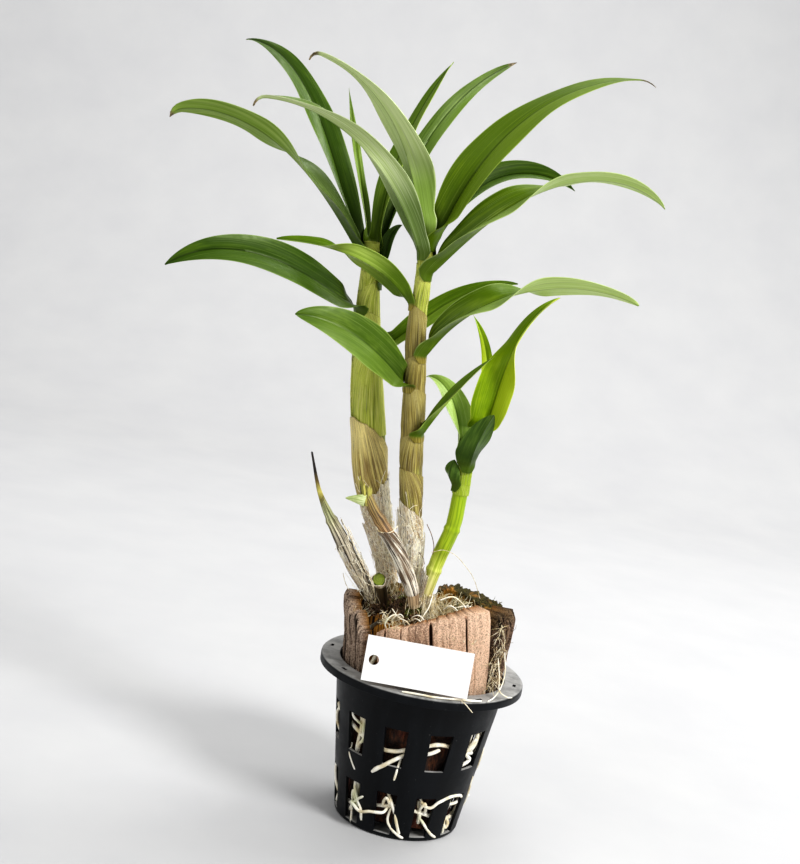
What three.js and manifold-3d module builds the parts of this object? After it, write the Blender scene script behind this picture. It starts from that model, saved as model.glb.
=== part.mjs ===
// Potted dendrobium orchid: three leafy canes, two old canes, their rhizome and roots, coconut husk,
// a net pot and a blank tag. Millimetres and degrees. +Z is up, +X right, +Y away from the front.
// The origin is the middle of the pot's underside.
// Azimuths are measured from +X towards +Y, so 180 is left and 270 is the front.

import * as THREE from 'three';
import { mergeVertices } from 'three/addons/utils/BufferGeometryUtils.js';
import Module from 'manifold-3d';

const wasm = await Module();
wasm.setup();

// ---------------------------------------------------------------- driving dimensions

const GAP = 0.3; // clearance between pieces that touch

const POT = {
  height: 77.6,
  rimRadius: 50,
  bodyTopRadius: 42.3,
  baseRadius: 30.7,
  wall: 1.5,
  floor: 2,
  rimThickness: 1.6,
  lipDrop: 4.2,
  lipWall: 1.4,
  footChamfer: 1,
  segments: 44,
};
const WINDOW_COUNT = 11;
const WINDOW_ROWS = [
  { low: 2.1, high: 23, lowWidth: 8, highWidth: 10 },
  { low: 37.5, high: 56.5, lowWidth: 9.5, highWidth: 11.5 },
];
const WINDOW_START = 291; // azimuth of one window, a little right of the front
const WINDOW_CUT = { inside: 22.7, depth: 24 }; // radius where the cut starts, and its length
const RIM_SLITS = { count: 8, length: 3.4, width: 1.4, depth: 8, radius: 45.8, start: 261 };
const DRAIN_HOLES = { count: 6, radius: 3, depth: 10, sides: 8, ring: 19 };

const TAG = {
  width: 49.5,
  height: 21,
  thickness: 0.8,
  holeRadius: 2.4,
  holeInset: 4.4,
  holeRise: 10,
  lean: 8, // degrees back from upright
  roll: 2.4, // degrees turned in its own plane
  at: [-3.9, -43.4, 89.9],
};

const HUSK = { fillTop: 94.5, fillGap: 4.2, fillBottom: 4.2, chunkFoot: 66, moundRadius: 22 };
const ROOT = { radius: 1.2, fineRadius: 0.9, sides: 5, fineSides: 4, wallGap: 0.5 };
const RHIZOME = { radius: 6.2, nodeRadius: 6.8 };

const SHEATH_WALL = 0.9;
const BLADE = {
  thickness: 1.1,
  edgeThickness: 0.7,
  across: 2,
  insertion: 3.5, // how far below the sheath's top edge a blade starts
  footStations: [0, 3.2, 7, 12], // distances from the start that have a section of their own
  steps: 9, // sections from there to the tip
  substeps: 4,
  baseShare: 0.55,
  peak: 0.35,
  taper: 2.4,
  point: 0.8,
  tipShare: 0.03,
  unwind: 0.15,
  foldEases: [0.05, 0.6],
  cup: 0.86,
  hookFrom: 0.93,
};
// A blade's foot lies against its cane and clasps it, then lets go, over these distances.
const FOOT = { swells: 3.2, hugs: [0.5, 8], clasps: [2, 12], wrap: 0.7, turnsFrom: 2 };

// ---------------------------------------------------------------- colours

const COLOUR = {
  pot: 0x1b1c1e,
  tag: 0xf4f3ee,
  huskPith: 0xb98f70,
  huskBark: 0x6f5748,
  huskOchre: 0x8c6128,
  huskFill: 0x2b1d12,
  root: 0xe4ddc8,
  leftCane: 0x9aa548,
  middleCane: 0x9c854a,
  shoot: 0xa6c23c,
  oldCane: 0xaf7440,
  dryCane: 0x9b948a,
  stub: 0x7d9a3a,
  tanSheath: 0xb79a68,
  paper: 0xcfc6b4,
  darkLeaf: 0x3f6314,
  leaf: 0x5c8a2c,
  paleLeaf: 0x9cb36c,
  limeLeaf: 0xa3c72c,
};

// ---------------------------------------------------------------- helpers

const radians = THREE.MathUtils.degToRad;
const lerp = THREE.MathUtils.lerp;
const smooth = THREE.MathUtils.smoothstep;

/** Small repeatable random numbers from 0 to 1. */
function makeRandom(seed) {
  let state = seed;
  return () => {
    state = (state * 16807) % 2147483647;
    return state / 2147483647;
  };
}

function toSolid(geometry) {
  const bare = geometry.clone();
  bare.deleteAttribute('normal');
  bare.deleteAttribute('uv');
  const merged = mergeVertices(bare, 1e-4);
  const vertProperties = new Float32Array(merged.attributes.position.array);
  const triVerts = new Uint32Array(merged.index.array);
  return new wasm.Manifold(new wasm.Mesh({ numProp: 3, vertProperties, triVerts }));
}

/** Geometry of a solid's largest body, without the scraps that a cut leaves. */
function toGeometry(solid) {
  const bodies = solid.decompose();
  const largest = bodies.reduce((best, body) => (body.volume() > best.volume() ? body : best));
  const mesh = largest.getMesh();
  const geometry = new THREE.BufferGeometry();
  geometry.setAttribute('position', new THREE.BufferAttribute(mesh.vertProperties, 3));
  geometry.setIndex(new THREE.BufferAttribute(mesh.triVerts, 1));
  return geometry;
}

/** Value at x of a line through [x, value] stations. */
function interpolate(stations, x) {
  for (let i = 1; i < stations.length; i += 1) {
    const [x0, v0] = stations[i - 1];
    const [x1, v1] = stations[i];
    if (x <= x1 || i === stations.length - 1) {
      return lerp(v0, v1, THREE.MathUtils.clamp((x - x0) / (x1 - x0), 0, 1));
    }
  }
  return stations[0][1];
}

/**
 * Closed body through rings of equally many points, each counter-clockwise about the path. The first
 * half of a ring is one face and the second half the other, and both are split alike.
 */
function loft(rings) {
  const around = rings[0].length;
  const positions = rings.flat().flatMap((point) => [point.x, point.y, point.z]);
  const index = [];
  for (let i = 0; i + 1 < rings.length; i += 1) {
    for (let j = 0; j < around; j += 1) {
      const a = i * around + j;
      const b = i * around + ((j + 1) % around);
      if (j < around / 2) {
        index.push(a, b, b + around, a, b + around, a + around);
      } else {
        index.push(a, b, a + around, b, b + around, a + around);
      }
    }
  }
  const last = (rings.length - 1) * around;
  for (let k = 0; k + 1 < around / 2; k += 1) {
    const [a, b, c, d] = [k, k + 1, around - 2 - k, around - 1 - k];
    index.push(a, c, b, a, d, c);
    index.push(last + a, last + b, last + c, last + a, last + c, last + d);
  }
  const geometry = new THREE.BufferGeometry();
  geometry.setAttribute('position', new THREE.Float32BufferAttribute(positions, 3));
  geometry.setIndex(index);
  return geometry;
}

/** Tube of one radius along a curve. */
function tube(curve, radius, steps, sides) {
  const circle = new THREE.Shape();
  for (let i = 0; i < sides; i += 1) {
    const angle = (2 * Math.PI * i) / sides;
    const method = i === 0 ? 'moveTo' : 'lineTo';
    circle[method](radius * Math.cos(angle), radius * Math.sin(angle));
  }
  circle.closePath();
  return new THREE.ExtrudeGeometry(circle, { steps, extrudePath: curve, bevelEnabled: false });
}

function curveThrough(points) {
  return new THREE.CatmullRomCurve3(points.map((point) => new THREE.Vector3(...point)));
}

// ---------------------------------------------------------------- pot

const innerRadius = (z) => lerp(POT.baseRadius, POT.bodyTopRadius, z / POT.height) - POT.wall;

function potShell() {
  const top = POT.height;
  const profile = [
    [0, 0],
    [POT.baseRadius - POT.footChamfer, 0],
    [POT.baseRadius, POT.footChamfer],
    [POT.bodyTopRadius - 0.3, top - POT.rimThickness],
    [POT.rimRadius - POT.lipWall, top - POT.rimThickness],
    [POT.rimRadius - POT.lipWall, top - POT.lipDrop],
    [POT.rimRadius, top - POT.lipDrop],
    [POT.rimRadius, top],
    [innerRadius(top), top],
    [innerRadius(POT.floor), POT.floor],
    [0, POT.floor],
  ];
  const points = profile.map(([r, z]) => new THREE.Vector2(r, z));
  return new THREE.LatheGeometry(points, POT.segments).rotateX(Math.PI / 2);
}

/** A tapered hole through the wall at one azimuth. */
function windowCutter({ low, high, lowWidth, highWidth }, azimuth) {
  const outline = new THREE.Shape();
  outline.moveTo(-lowWidth / 2, low);
  outline.lineTo(lowWidth / 2, low);
  outline.lineTo(highWidth / 2, high);
  outline.lineTo(-highWidth / 2, high);
  outline.closePath();
  const { inside, depth } = WINDOW_CUT;
  const cutter = new THREE.ExtrudeGeometry(outline, { depth, bevelEnabled: false });
  cutter.rotateX(Math.PI / 2).translate(0, -inside, 0);
  return cutter.rotateZ(radians(azimuth + 90));
}

function buildPot() {
  let pot = toSolid(potShell());
  for (let i = 0; i < WINDOW_COUNT; i += 1) {
    const azimuth = WINDOW_START + (360 / WINDOW_COUNT) * i;
    for (const row of WINDOW_ROWS) {
      pot = pot.subtract(toSolid(windowCutter(row, azimuth)));
    }
  }
  for (let i = 0; i < RIM_SLITS.count; i += 1) {
    const slit = new THREE.BoxGeometry(RIM_SLITS.width, RIM_SLITS.length, RIM_SLITS.depth);
    slit.translate(RIM_SLITS.radius, 0, POT.height);
    slit.rotateZ(radians(RIM_SLITS.start + (360 / RIM_SLITS.count) * i));
    pot = pot.subtract(toSolid(slit));
  }
  const { count, radius, depth, sides, ring } = DRAIN_HOLES;
  for (let i = 0; i < count; i += 1) {
    const hole = new THREE.CylinderGeometry(radius, radius, depth, sides);
    hole.rotateX(Math.PI / 2).translate(ring, 0, 0);
    hole.rotateZ(radians((360 / count) * i));
    pot = pot.subtract(toSolid(hole));
  }
  return toGeometry(pot);
}

// ---------------------------------------------------------------- tag

function buildTag() {
  const card = new THREE.Shape();
  const halfWidth = TAG.width / 2;
  const halfHeight = TAG.height / 2;
  card.moveTo(-halfWidth, -halfHeight);
  card.lineTo(halfWidth, -halfHeight);
  card.lineTo(halfWidth, halfHeight);
  card.lineTo(-halfWidth, halfHeight);
  card.closePath();
  const hole = new THREE.Path();
  const holeX = -halfWidth + TAG.holeInset;
  hole.absarc(holeX, TAG.holeRise - halfHeight, TAG.holeRadius, 0, 2 * Math.PI, true);
  card.holes.push(hole);
  const depth = TAG.thickness;
  return new THREE.ExtrudeGeometry(card, { depth, bevelEnabled: false, curveSegments: 10 });
}

// ---------------------------------------------------------------- coconut husk

// Each chunk stands on the fill, between two azimuths and two radii. The top is given at both ends.
const CHUNKS = [
  {
    name: 'husk_front',
    colour: COLOUR.huskPith,
    from: 228,
    to: 316,
    inner: 29,
    outer: 39.5,
    flat: 0.8,
    topFrom: 99.5,
    topTo: 119,
    lean: 1.06,
    grooves: [0.17, 0.31, 0.52, 0.68, 0.78, 0.88],
  },
  {
    name: 'husk_left',
    colour: COLOUR.huskBark,
    from: 178,
    to: 219,
    inner: 35.5,
    outer: 40.2,
    flat: 0.2,
    topFrom: 104,
    topTo: 107,
    lean: 1.12,
    grooves: [0.3, 0.62],
  },
  {
    name: 'husk_right',
    colour: COLOUR.huskBark,
    from: 324,
    to: 372,
    inner: 28,
    outer: 40.2,
    flat: 0.2,
    topFrom: 114,
    topTo: 108,
    lean: 1.06,
    grooves: [0.25, 0.5, 0.75],
  },
  {
    name: 'husk_back_right',
    colour: COLOUR.huskOchre,
    from: 22,
    to: 86,
    inner: 25.5,
    outer: 40,
    flat: 0.4,
    topFrom: 110,
    topTo: 110,
    lean: 1.03,
    grooves: [0.35, 0.7],
  },
  {
    name: 'husk_back_left',
    colour: COLOUR.huskBark,
    from: 96,
    to: 166,
    inner: 34,
    outer: 40,
    flat: 0.4,
    topFrom: 108,
    topTo: 103,
    lean: 1.03,
    grooves: [0.4, 0.66],
  },
];
const GROOVE = { depth: 1.1, halfWidth: 0.012 };

/** Plan radius of a chunk's outer face: between a round wall and a straight slab. */
function chunkRadius(chunk, share) {
  const half = radians(chunk.to - chunk.from) / 2;
  const off = half * (2 * share - 1);
  const straight = (chunk.outer * Math.cos(half * 0.8)) / Math.cos(off);
  return lerp(chunk.outer, Math.min(straight, chunk.outer), chunk.flat * 0.5);
}

function buildChunk(chunk) {
  const plan = [];
  const shares = new Set([0, 0.25, 0.5, 0.75, 1]);
  for (const groove of chunk.grooves) {
    shares.add(groove - GROOVE.halfWidth);
    shares.add(groove);
    shares.add(groove + GROOVE.halfWidth);
  }
  const sorted = [...shares].sort((a, b) => a - b);
  for (const share of sorted) {
    const cut = chunk.grooves.includes(share) ? GROOVE.depth : 0;
    plan.push([share, chunkRadius(chunk, share) - cut]);
  }
  for (const share of [1, 0.5, 0]) {
    plan.push([share, chunk.inner]);
  }
  const outline = new THREE.Shape();
  plan.forEach(([share, radius], i) => {
    const angle = radians(lerp(chunk.from, chunk.to, share));
    outline[i === 0 ? 'moveTo' : 'lineTo'](radius * Math.cos(angle), radius * Math.sin(angle));
  });
  outline.closePath();
  const body = new THREE.ExtrudeGeometry(outline, { depth: 1, steps: 2, bevelEnabled: false });
  const position = body.attributes.position;
  for (let i = 0; i < position.count; i += 1) {
    const x = position.getX(i);
    const y = position.getY(i);
    const lift = position.getZ(i);
    const turn = THREE.MathUtils.euclideanModulo(
      THREE.MathUtils.radToDeg(Math.atan2(y, x)) - chunk.from, 360);
    const share = THREE.MathUtils.clamp(turn / (chunk.to - chunk.from), 0, 1);
    const ripple = 1.1 * Math.sin(share * 17 + chunk.from) + 0.6 * Math.sin(share * 41);
    const top = lerp(chunk.topFrom, chunk.topTo, share) + ripple;
    // The foot follows the pot's taper, and the part above the rim leans out a little.
    const taper = [0.94, 1, chunk.lean][Math.round(lift * 2)];
    position.setXYZ(i, x * taper, y * taper, lerp(HUSK.chunkFoot, top, lift));
  }
  return body;
}

function buildFill() {
  const radiusAt = (z) => innerRadius(z) - HUSK.fillGap;
  const ledge = HUSK.chunkFoot - GAP;
  const profile = [
    [0, HUSK.fillBottom],
    [radiusAt(HUSK.fillBottom), HUSK.fillBottom],
    [radiusAt(ledge), ledge],
    [HUSK.moundRadius, ledge],
    [HUSK.moundRadius - 1, HUSK.fillTop - 6],
    [HUSK.moundRadius - 10, HUSK.fillTop],
    [0, HUSK.fillTop],
  ];
  const points = profile.map(([r, z]) => new THREE.Vector2(r, z));
  return new THREE.LatheGeometry(points, 24).rotateX(Math.PI / 2);
}

// ---------------------------------------------------------------- canes

const LEFT = {
  name: 'cane_left',
  colour: COLOUR.leftCane,
  path: [[-19, 9, 104], [-22, 10, 112], [-34, 11, 143], [-41, 11, 162], [-45.5, 11, 184],
    [-51.4, 11, 212], [-56.4, 11, 245], [-59.5, 11, 276]],
  radii: [[104, 3.2], [112, 3.4], [128, 4.2], [143, 5.6], [162, 7.4], [182, 8.1], [200, 7.7], [224, 6.6],
    [240, 5.7], [253, 4.7], [274, 3.2]],
  from: 107,
  to: 274,
  nodes: [],
};
const MIDDLE = {
  name: 'cane_middle',
  colour: COLOUR.middleCane,
  path: [[-11, -8, 108], [-13, -8, 122], [-19, -8, 154], [-24, -8, 183], [-27.4, -8, 211],
    [-31, -8, 235], [-32.4, -8, 258], [-34, -8, 286]],
  radii: [[108, 3.2], [122, 3.4], [140, 4.4], [160, 4.9], [178, 5], [206, 4.8], [226, 4.4], [245, 3.7],
    [259, 3.2], [286, 2.5]],
  from: 110,
  to: 284,
  nodes: [],
};
const SHOOT = {
  name: 'shoot',
  colour: COLOUR.shoot,
  path: [[-7, -13, 106], [-5, -14, 120], [-2, -14, 136], [1.6, -15, 151], [2.2, -15, 166],
    [2.4, -16, 186], [4.5, -16, 206]],
  radii: [[106, 3], [120, 3.4], [136, 3.7], [151, 3.7], [166, 3.6], [186, 3.2], [198, 2.5]],
  from: 110,
  to: 196,
  nodes: [129, 150],
};
const OLD_LEFT = {
  name: 'old_cane_left',
  colour: COLOUR.dryCane,
  path: [[-28, 1, 102], [-34, 0, 111], [-44, 0, 124], [-50, 0, 133], [-58, 0, 144], [-64, 0, 154],
    [-71, 0, 173]],
  radii: [[102, 2.6], [111, 2.8], [124, 3.8], [133, 3.5], [144, 2.8], [153, 2.2], [158, 1.1], [173, 0.6]],
  from: 105,
  to: 172,
  nodes: [117, 129, 141],
};
const OLD_FRONT = {
  name: 'old_cane_front',
  colour: COLOUR.oldCane,
  path: [[-9, -19, 108], [-13, -23, 121], [-26, -24, 142], [-37, -24, 155], [-43, -24, 165]],
  radii: [[108, 2.6], [121, 2.8], [142, 3], [155, 2.6], [161, 1.9], [165, 1.1]],
  from: 111,
  to: 164,
  nodes: [150],
};
const STUB = {
  name: 'cut_stub',
  colour: COLOUR.stub,
  path: [[-24, -9, 104], [-26, -13, 112], [-28, -16, 121], [-29, -17, 125]],
  radii: [[104, 2.6], [121, 3.1], [125, 3]],
  from: 107,
  to: 122,
  nodes: [],
};
const CANES = [LEFT, MIDDLE, SHOOT, OLD_LEFT, OLD_FRONT, STUB];
const NODE_RING = { swell: 0.35, halfHeight: 1.2 };
const CANE_SIDES = 9;
const ROOM_STEP = 12;

/** Point and direction of a cane's axis at height z. */
function caneAt(cane, z) {
  cane.curve ??= curveThrough(cane.path);
  let low = 0;
  let high = 1;
  for (let i = 0; i < 24; i += 1) {
    const middle = (low + high) / 2;
    if (cane.curve.getPoint(middle).z < z) {
      low = middle;
    } else {
      high = middle;
    }
  }
  return { point: cane.curve.getPoint(low), along: cane.curve.getTangent(low) };
}

/** Bends a lathe form, whose Y is height z along the cane, onto the cane's axis. */
function bendOntoCane(profile, cane, sides) {
  const points = profile.map(([radius, z]) => new THREE.Vector2(radius, z));
  const form = new THREE.LatheGeometry(points, sides).rotateX(Math.PI / 2);
  const position = form.attributes.position;
  for (let i = 0; i < position.count; i += 1) {
    const { point, along } = caneAt(cane, position.getZ(i));
    const side = new THREE.Vector3(0, 1, 0).cross(along).normalize();
    const back = along.clone().cross(side);
    point.addScaledVector(side, position.getX(i)).addScaledVector(back, position.getY(i));
    position.setXYZ(i, point.x, point.y, point.z);
  }
  return form;
}

/** Heights where a cane's outline needs a ring, with its nodes swollen a little. */
function caneProfile(cane, extra) {
  const heights = new Set([cane.from, cane.to]);
  for (const [z] of cane.radii) {
    if (z > cane.from && z < cane.to) {
      heights.add(z);
    }
  }
  const rings = [...heights].sort((a, b) => a - b);
  const outline = rings.map((z) => [interpolate(cane.radii, z) + extra, z]);
  for (const z of cane.nodes) {
    const radius = interpolate(cane.radii, z) + extra;
    outline.push([radius, z - NODE_RING.halfHeight]);
    outline.push([radius + NODE_RING.swell, z]);
    outline.push([radius, z + NODE_RING.halfHeight]);
  }
  outline.sort((a, b) => a[1] - b[1]);
  return outline.filter(([, z], i) => i === 0 || z - outline[i - 1][1] > 0.4);
}

function caneBody(cane, extra = 0) {
  const outline = caneProfile(cane, extra);
  const profile = [[0, cane.from - extra], ...outline, [0, cane.to + extra]];
  profile[1][1] = cane.from - extra;
  profile[profile.length - 2][1] = cane.to + extra;
  return bendOntoCane(profile, cane, CANE_SIDES);
}

/** Tube round a cane from one height to another. */
function sheathTube(cane, from, to, flare = 0) {
  const stations = cane.radii.map(([z]) => z).filter((z) => z > from + 1 && z < to - 1);
  const outside = [];
  const inside = [];
  for (const z of [from, ...stations, to]) {
    const share = (z - from) / (to - from);
    const radius = interpolate(cane.radii, z) + GAP + flare * share ** 2;
    outside.push([radius + SHEATH_WALL, z]);
    inside.unshift([radius, z]);
  }
  return bendOntoCane([...outside, ...inside, outside[0]], cane, CANE_SIDES);
}

// ---------------------------------------------------------------- dry sheaths

const DRY_SHEATHS = [
  { name: 'sheath_left_tan', cane: LEFT, from: 152, to: 188, colour: COLOUR.tanSheath },
  { name: 'sheath_left_paper', cane: LEFT, from: 118, to: 151.6, flare: 1.5, colour: COLOUR.paper },
  { name: 'sheath_middle_paper', cane: MIDDLE, from: 125, to: 159, flare: 0.6, colour: COLOUR.paper },
  { name: 'sheath_middle_tan', cane: MIDDLE, from: 159.4, to: 174, colour: COLOUR.tanSheath },
  { name: 'sheath_old_front', cane: OLD_FRONT, from: 123, to: 146, flare: 1, colour: COLOUR.paper },
];

// ---------------------------------------------------------------- leaves

// A leaf is a sheath round its cane, from one height to another, and a blade that leaves its top edge.
// azimuth: at the base and the tip. rise: degrees above level at the base, the middle and the tip.
// turn: how far the upper face is turned to the front, near the base and at the tip, below zero where
// the underside shows. flip: the share of the length where it changes over, and half the spread of it.
// fold: degrees that each half is raised along the midrib, near the base and at the tip.
// width: across the widest place, which is at share peak of the length. base: share of it at the foot.
// taper: lower for a blade that narrows sooner. point: lower for a blunter tip. hook: drop of the tip.
const LEAVES = [
  {
    name: 'leaf_left_1', cane: LEFT, sheath: [188.4, 226], colour: COLOUR.leaf,
    azimuth: [11, 2], rise: [41, 41, 6],
    turn: [64, 53], fold: [37, 14],
    length: 77, width: 13,
  },
  {
    name: 'leaf_left_2', cane: LEFT, sheath: [226.4, 243], colour: COLOUR.darkLeaf,
    azimuth: [222, 201], rise: [19, 12, -41],
    turn: [51, 74], fold: [11, 20],
    length: 108, width: 20, taper: 2.8,
  },
  {
    name: 'leaf_left_3', cane: LEFT, sheath: [263.4, 266], colour: COLOUR.darkLeaf,
    azimuth: [215, 168], rise: [46, 34, -23],
    turn: [33, -39], flip: [0.5, 0.15], fold: [54, 10],
    length: 126, width: 17, taper: 4.5, point: 0.7, hook: 40,
  },
  {
    name: 'leaf_left_4', cane: LEFT, sheath: [243.4, 257], colour: COLOUR.darkLeaf,
    azimuth: [5, 41], rise: [73, 94, 24],
    turn: [4, 37], fold: [55, 26],
    length: 35, width: 10.5,
  },
  {
    name: 'leaf_left_5', cane: LEFT, sheath: [257.4, 263], colour: COLOUR.darkLeaf,
    azimuth: [58, 46], rise: [87, 56, 25],
    turn: [-6, 57], fold: [59, 15],
    length: 149, width: 13,
  },
  {
    name: 'leaf_left_6', cane: LEFT, sheath: [266.4, 269], colour: COLOUR.darkLeaf,
    azimuth: [162, 137], rise: [56, 54, -2],
    turn: [20, 39], fold: [55, 17],
    length: 142, width: 17.5,
  },
  {
    name: 'leaf_left_7', cane: LEFT, sheath: [269.4, 272], colour: COLOUR.leaf,
    azimuth: [62, 17], rise: [98, 75, 61],
    turn: [-7, 14], fold: [50, 9],
    length: 101, width: 14.5,
  },
  {
    name: 'leaf_left_8', cane: LEFT, sheath: [272.4, 275], colour: COLOUR.darkLeaf,
    azimuth: [118, 161], rise: [58, 66, 74],
    turn: [-16, 39], fold: [57, 15],
    length: 80, width: 6,
  },
  {
    name: 'leaf_middle_1', cane: MIDDLE, sheath: [174.4, 191], colour: COLOUR.leaf,
    azimuth: [-47, 9], rise: [59, 58, 49],
    turn: [41, 32], fold: [58, 30],
    length: 55, width: 8.5,
  },
  {
    name: 'leaf_middle_2', cane: MIDDLE, sheath: [191.4, 213], colour: COLOUR.leaf,
    azimuth: [220, 198], rise: [39, 27, -5],
    turn: [78, 64], fold: [17, 13],
    length: 71, width: 23.5, base: 0.5, peak: 0.45, point: 0.65,
  },
  {
    name: 'leaf_middle_3', cane: MIDDLE, sheath: [213.4, 228], colour: COLOUR.leaf,
    azimuth: [-35, 16], rise: [63, 25, -17],
    turn: [23, -27], flip: [0.5, 0.12], fold: [55, 5],
    length: 115, width: 23, taper: 3.2, point: 0.75,
  },
  {
    name: 'leaf_middle_4', cane: MIDDLE, sheath: [228.4, 251], colour: COLOUR.leaf,
    azimuth: [181, 186], rise: [54, 14, -4],
    turn: [-56, 31], flip: [0.6, 0.15], fold: [11, 28],
    length: 74, width: 15,
  },
  {
    name: 'leaf_middle_5', cane: MIDDLE, sheath: [251.4, 266], colour: COLOUR.leaf,
    azimuth: [-38, 15], rise: [47, 34, -36],
    turn: [31, -13], flip: [0.52, 0.12], fold: [58, 10],
    length: 128, width: 24.5, taper: 3.6, point: 0.7,
  },
  {
    name: 'leaf_middle_6', cane: MIDDLE, sheath: [266.4, 270], colour: COLOUR.darkLeaf,
    azimuth: [59, -2], rise: [78, 39, -29],
    turn: [5, 68], fold: [66, 38],
    length: 100, width: 21.5,
  },
  {
    name: 'leaf_middle_7', cane: MIDDLE, sheath: [270.4, 275], colour: COLOUR.paleLeaf,
    azimuth: [228, 183], rise: [55, 35, -12],
    turn: [-23, 9], flip: [0.6, 0.2], fold: [32, 33],
    length: 117, width: 19, hook: 60,
  },
  {
    name: 'leaf_middle_8', cane: MIDDLE, sheath: [275.4, 280], colour: COLOUR.leaf,
    azimuth: [-14, -6], rise: [78, 50, 0],
    turn: [85, 11], fold: [42, 3],
    length: 136, width: 25, taper: 2.1, hook: 30,
  },
  {
    name: 'leaf_middle_9', cane: MIDDLE, sheath: [280.4, 285], colour: COLOUR.paleLeaf,
    azimuth: [221, 183], rise: [71, 51, 3],
    turn: [-25, -4], fold: [54, 2],
    length: 106, width: 23.5, hook: 75,
  },
  {
    name: 'shoot_bract', cane: SHOOT, sheath: [168, 172], colour: COLOUR.darkLeaf,
    azimuth: [199, 223], rise: [34, 81, 115],
    turn: [8, -19], fold: [36, 13],
    length: 18, width: 11,
  },
  {
    name: 'leaf_shoot_1', cane: SHOOT, sheath: [172.4, 182], colour: COLOUR.darkLeaf,
    azimuth: [286, 306], rise: [80, 64, 55],
    turn: [15, -19], fold: [45, 19],
    length: 34, width: 17.5,
  },
  {
    name: 'leaf_shoot_2', cane: SHOOT, sheath: [182.4, 187], colour: COLOUR.paleLeaf,
    azimuth: [150, 132], rise: [83, 56, -13],
    turn: [15, 25], fold: [66, 21],
    length: 50, width: 17,
  },
  {
    name: 'leaf_shoot_3', cane: SHOOT, sheath: [187.4, 190], colour: COLOUR.limeLeaf,
    azimuth: [62, 144], rise: [69, 62, 44],
    turn: [30, 34], fold: [45, 20],
    length: 71, width: 8,
  },
  {
    name: 'leaf_shoot_4', cane: SHOOT, sheath: [190.4, 195], colour: COLOUR.limeLeaf,
    azimuth: [18, 0], rise: [79, 78, 40],
    turn: [55, 10], flip: [0.5, 0.15], fold: [43, 21],
    length: 80, width: 23.5, peak: 0.25, taper: 2,
  },
];

/** Smooth value at share s through a start, middle and end value. */
function throughThree([start, middle, end], s) {
  return start * (1 - s) * (1 - 2 * s) + middle * 4 * s * (1 - s) + end * s * (2 * s - 1);
}

/** Share of a blade's full width at share s of its length. */
function widthShare(leaf, s) {
  const { baseShare, peak, taper, point } = BLADE;
  const base = lerp(leaf.base ?? baseShare, 1, smooth(s, 0, leaf.peak ?? peak));
  const tip = Math.max(0, 1 - s ** (leaf.taper ?? taper)) ** (leaf.point ?? point);
  return Math.max(base * tip, BLADE.tipShare);
}

/** Degrees that the upper face is turned to the front at share s. */
function turnAt({ turn, flip }, s) {
  if (flip) {
    const [middle, spread] = flip;
    return lerp(...turn, smooth(s, middle - spread, middle + spread));
  }
  return lerp(...turn, s);
}

/** Azimuth and direction of the midrib at a distance from the blade's start. */
function headingAt(leaf, distance, caneAlong) {
  const s = distance / leaf.length;
  const azimuth = radians(lerp(...leaf.azimuth, s));
  const hook = (leaf.hook ?? 0) * smooth(s, BLADE.hookFrom, 1);
  const rise = radians(throughThree(leaf.rise, s) - hook);
  const [x, y] = [Math.cos(rise) * Math.cos(azimuth), Math.cos(rise) * Math.sin(azimuth)];
  const hold = 1 - smooth(distance, ...FOOT.hugs);
  const along = new THREE.Vector3(x, y, Math.sin(rise)).lerp(caneAlong, hold).normalize();
  return { azimuth, along };
}

/** Distances from the start where a blade has a section. */
function bladeStations(length) {
  const foot = BLADE.footStations;
  const reach = length - foot.at(-1);
  const rest = [];
  for (let i = 1; i <= BLADE.steps; i += 1) {
    rest.push(foot.at(-1) + (reach * i) / BLADE.steps);
  }
  return [...foot, ...rest];
}

/** Sections' places: the midrib point, and directions across and out of the upper face. */
function bladeFrames(leaf, foot) {
  const [start, end] = leaf.azimuth.map(radians);
  const facing = Math.cos(end) >= 0 ? 1 : -1;
  const outward = new THREE.Vector3(Math.cos(start), Math.sin(start), 0);
  const inWall = foot.radius + GAP + SHEATH_WALL / 2;
  const proud = foot.radius + GAP + SHEATH_WALL + GAP + BLADE.thickness / 2;
  const walker = foot.point.clone();
  let walked = 0;
  return bladeStations(leaf.length).map((distance) => {
    const step = (distance - walked) / BLADE.substeps;
    for (let i = 0; i < BLADE.substeps; i += 1) {
      const middle = walked + step * (i + 0.5);
      walker.addScaledVector(headingAt(leaf, middle, foot.along).along, step);
    }
    walked = distance;
    const s = distance / leaf.length;
    const { azimuth, along } = headingAt(leaf, distance, foot.along);
    const level = new THREE.Vector3(-Math.sin(azimuth), Math.cos(azimuth), 0);
    level.addScaledVector(along, -level.dot(along)).normalize();
    const turned = smooth(distance, FOOT.turnsFrom, BLADE.unwind * leaf.length);
    const across = level.applyAxisAngle(along, radians(turnAt(leaf, s)) * turned * facing);
    const offset = lerp(inWall, proud, smooth(distance, 0, FOOT.swells));
    const point = walker.clone().addScaledVector(outward, offset);
    return { s, distance, point, across, out: along.clone().cross(across), clasped: proud };
  });
}

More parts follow.
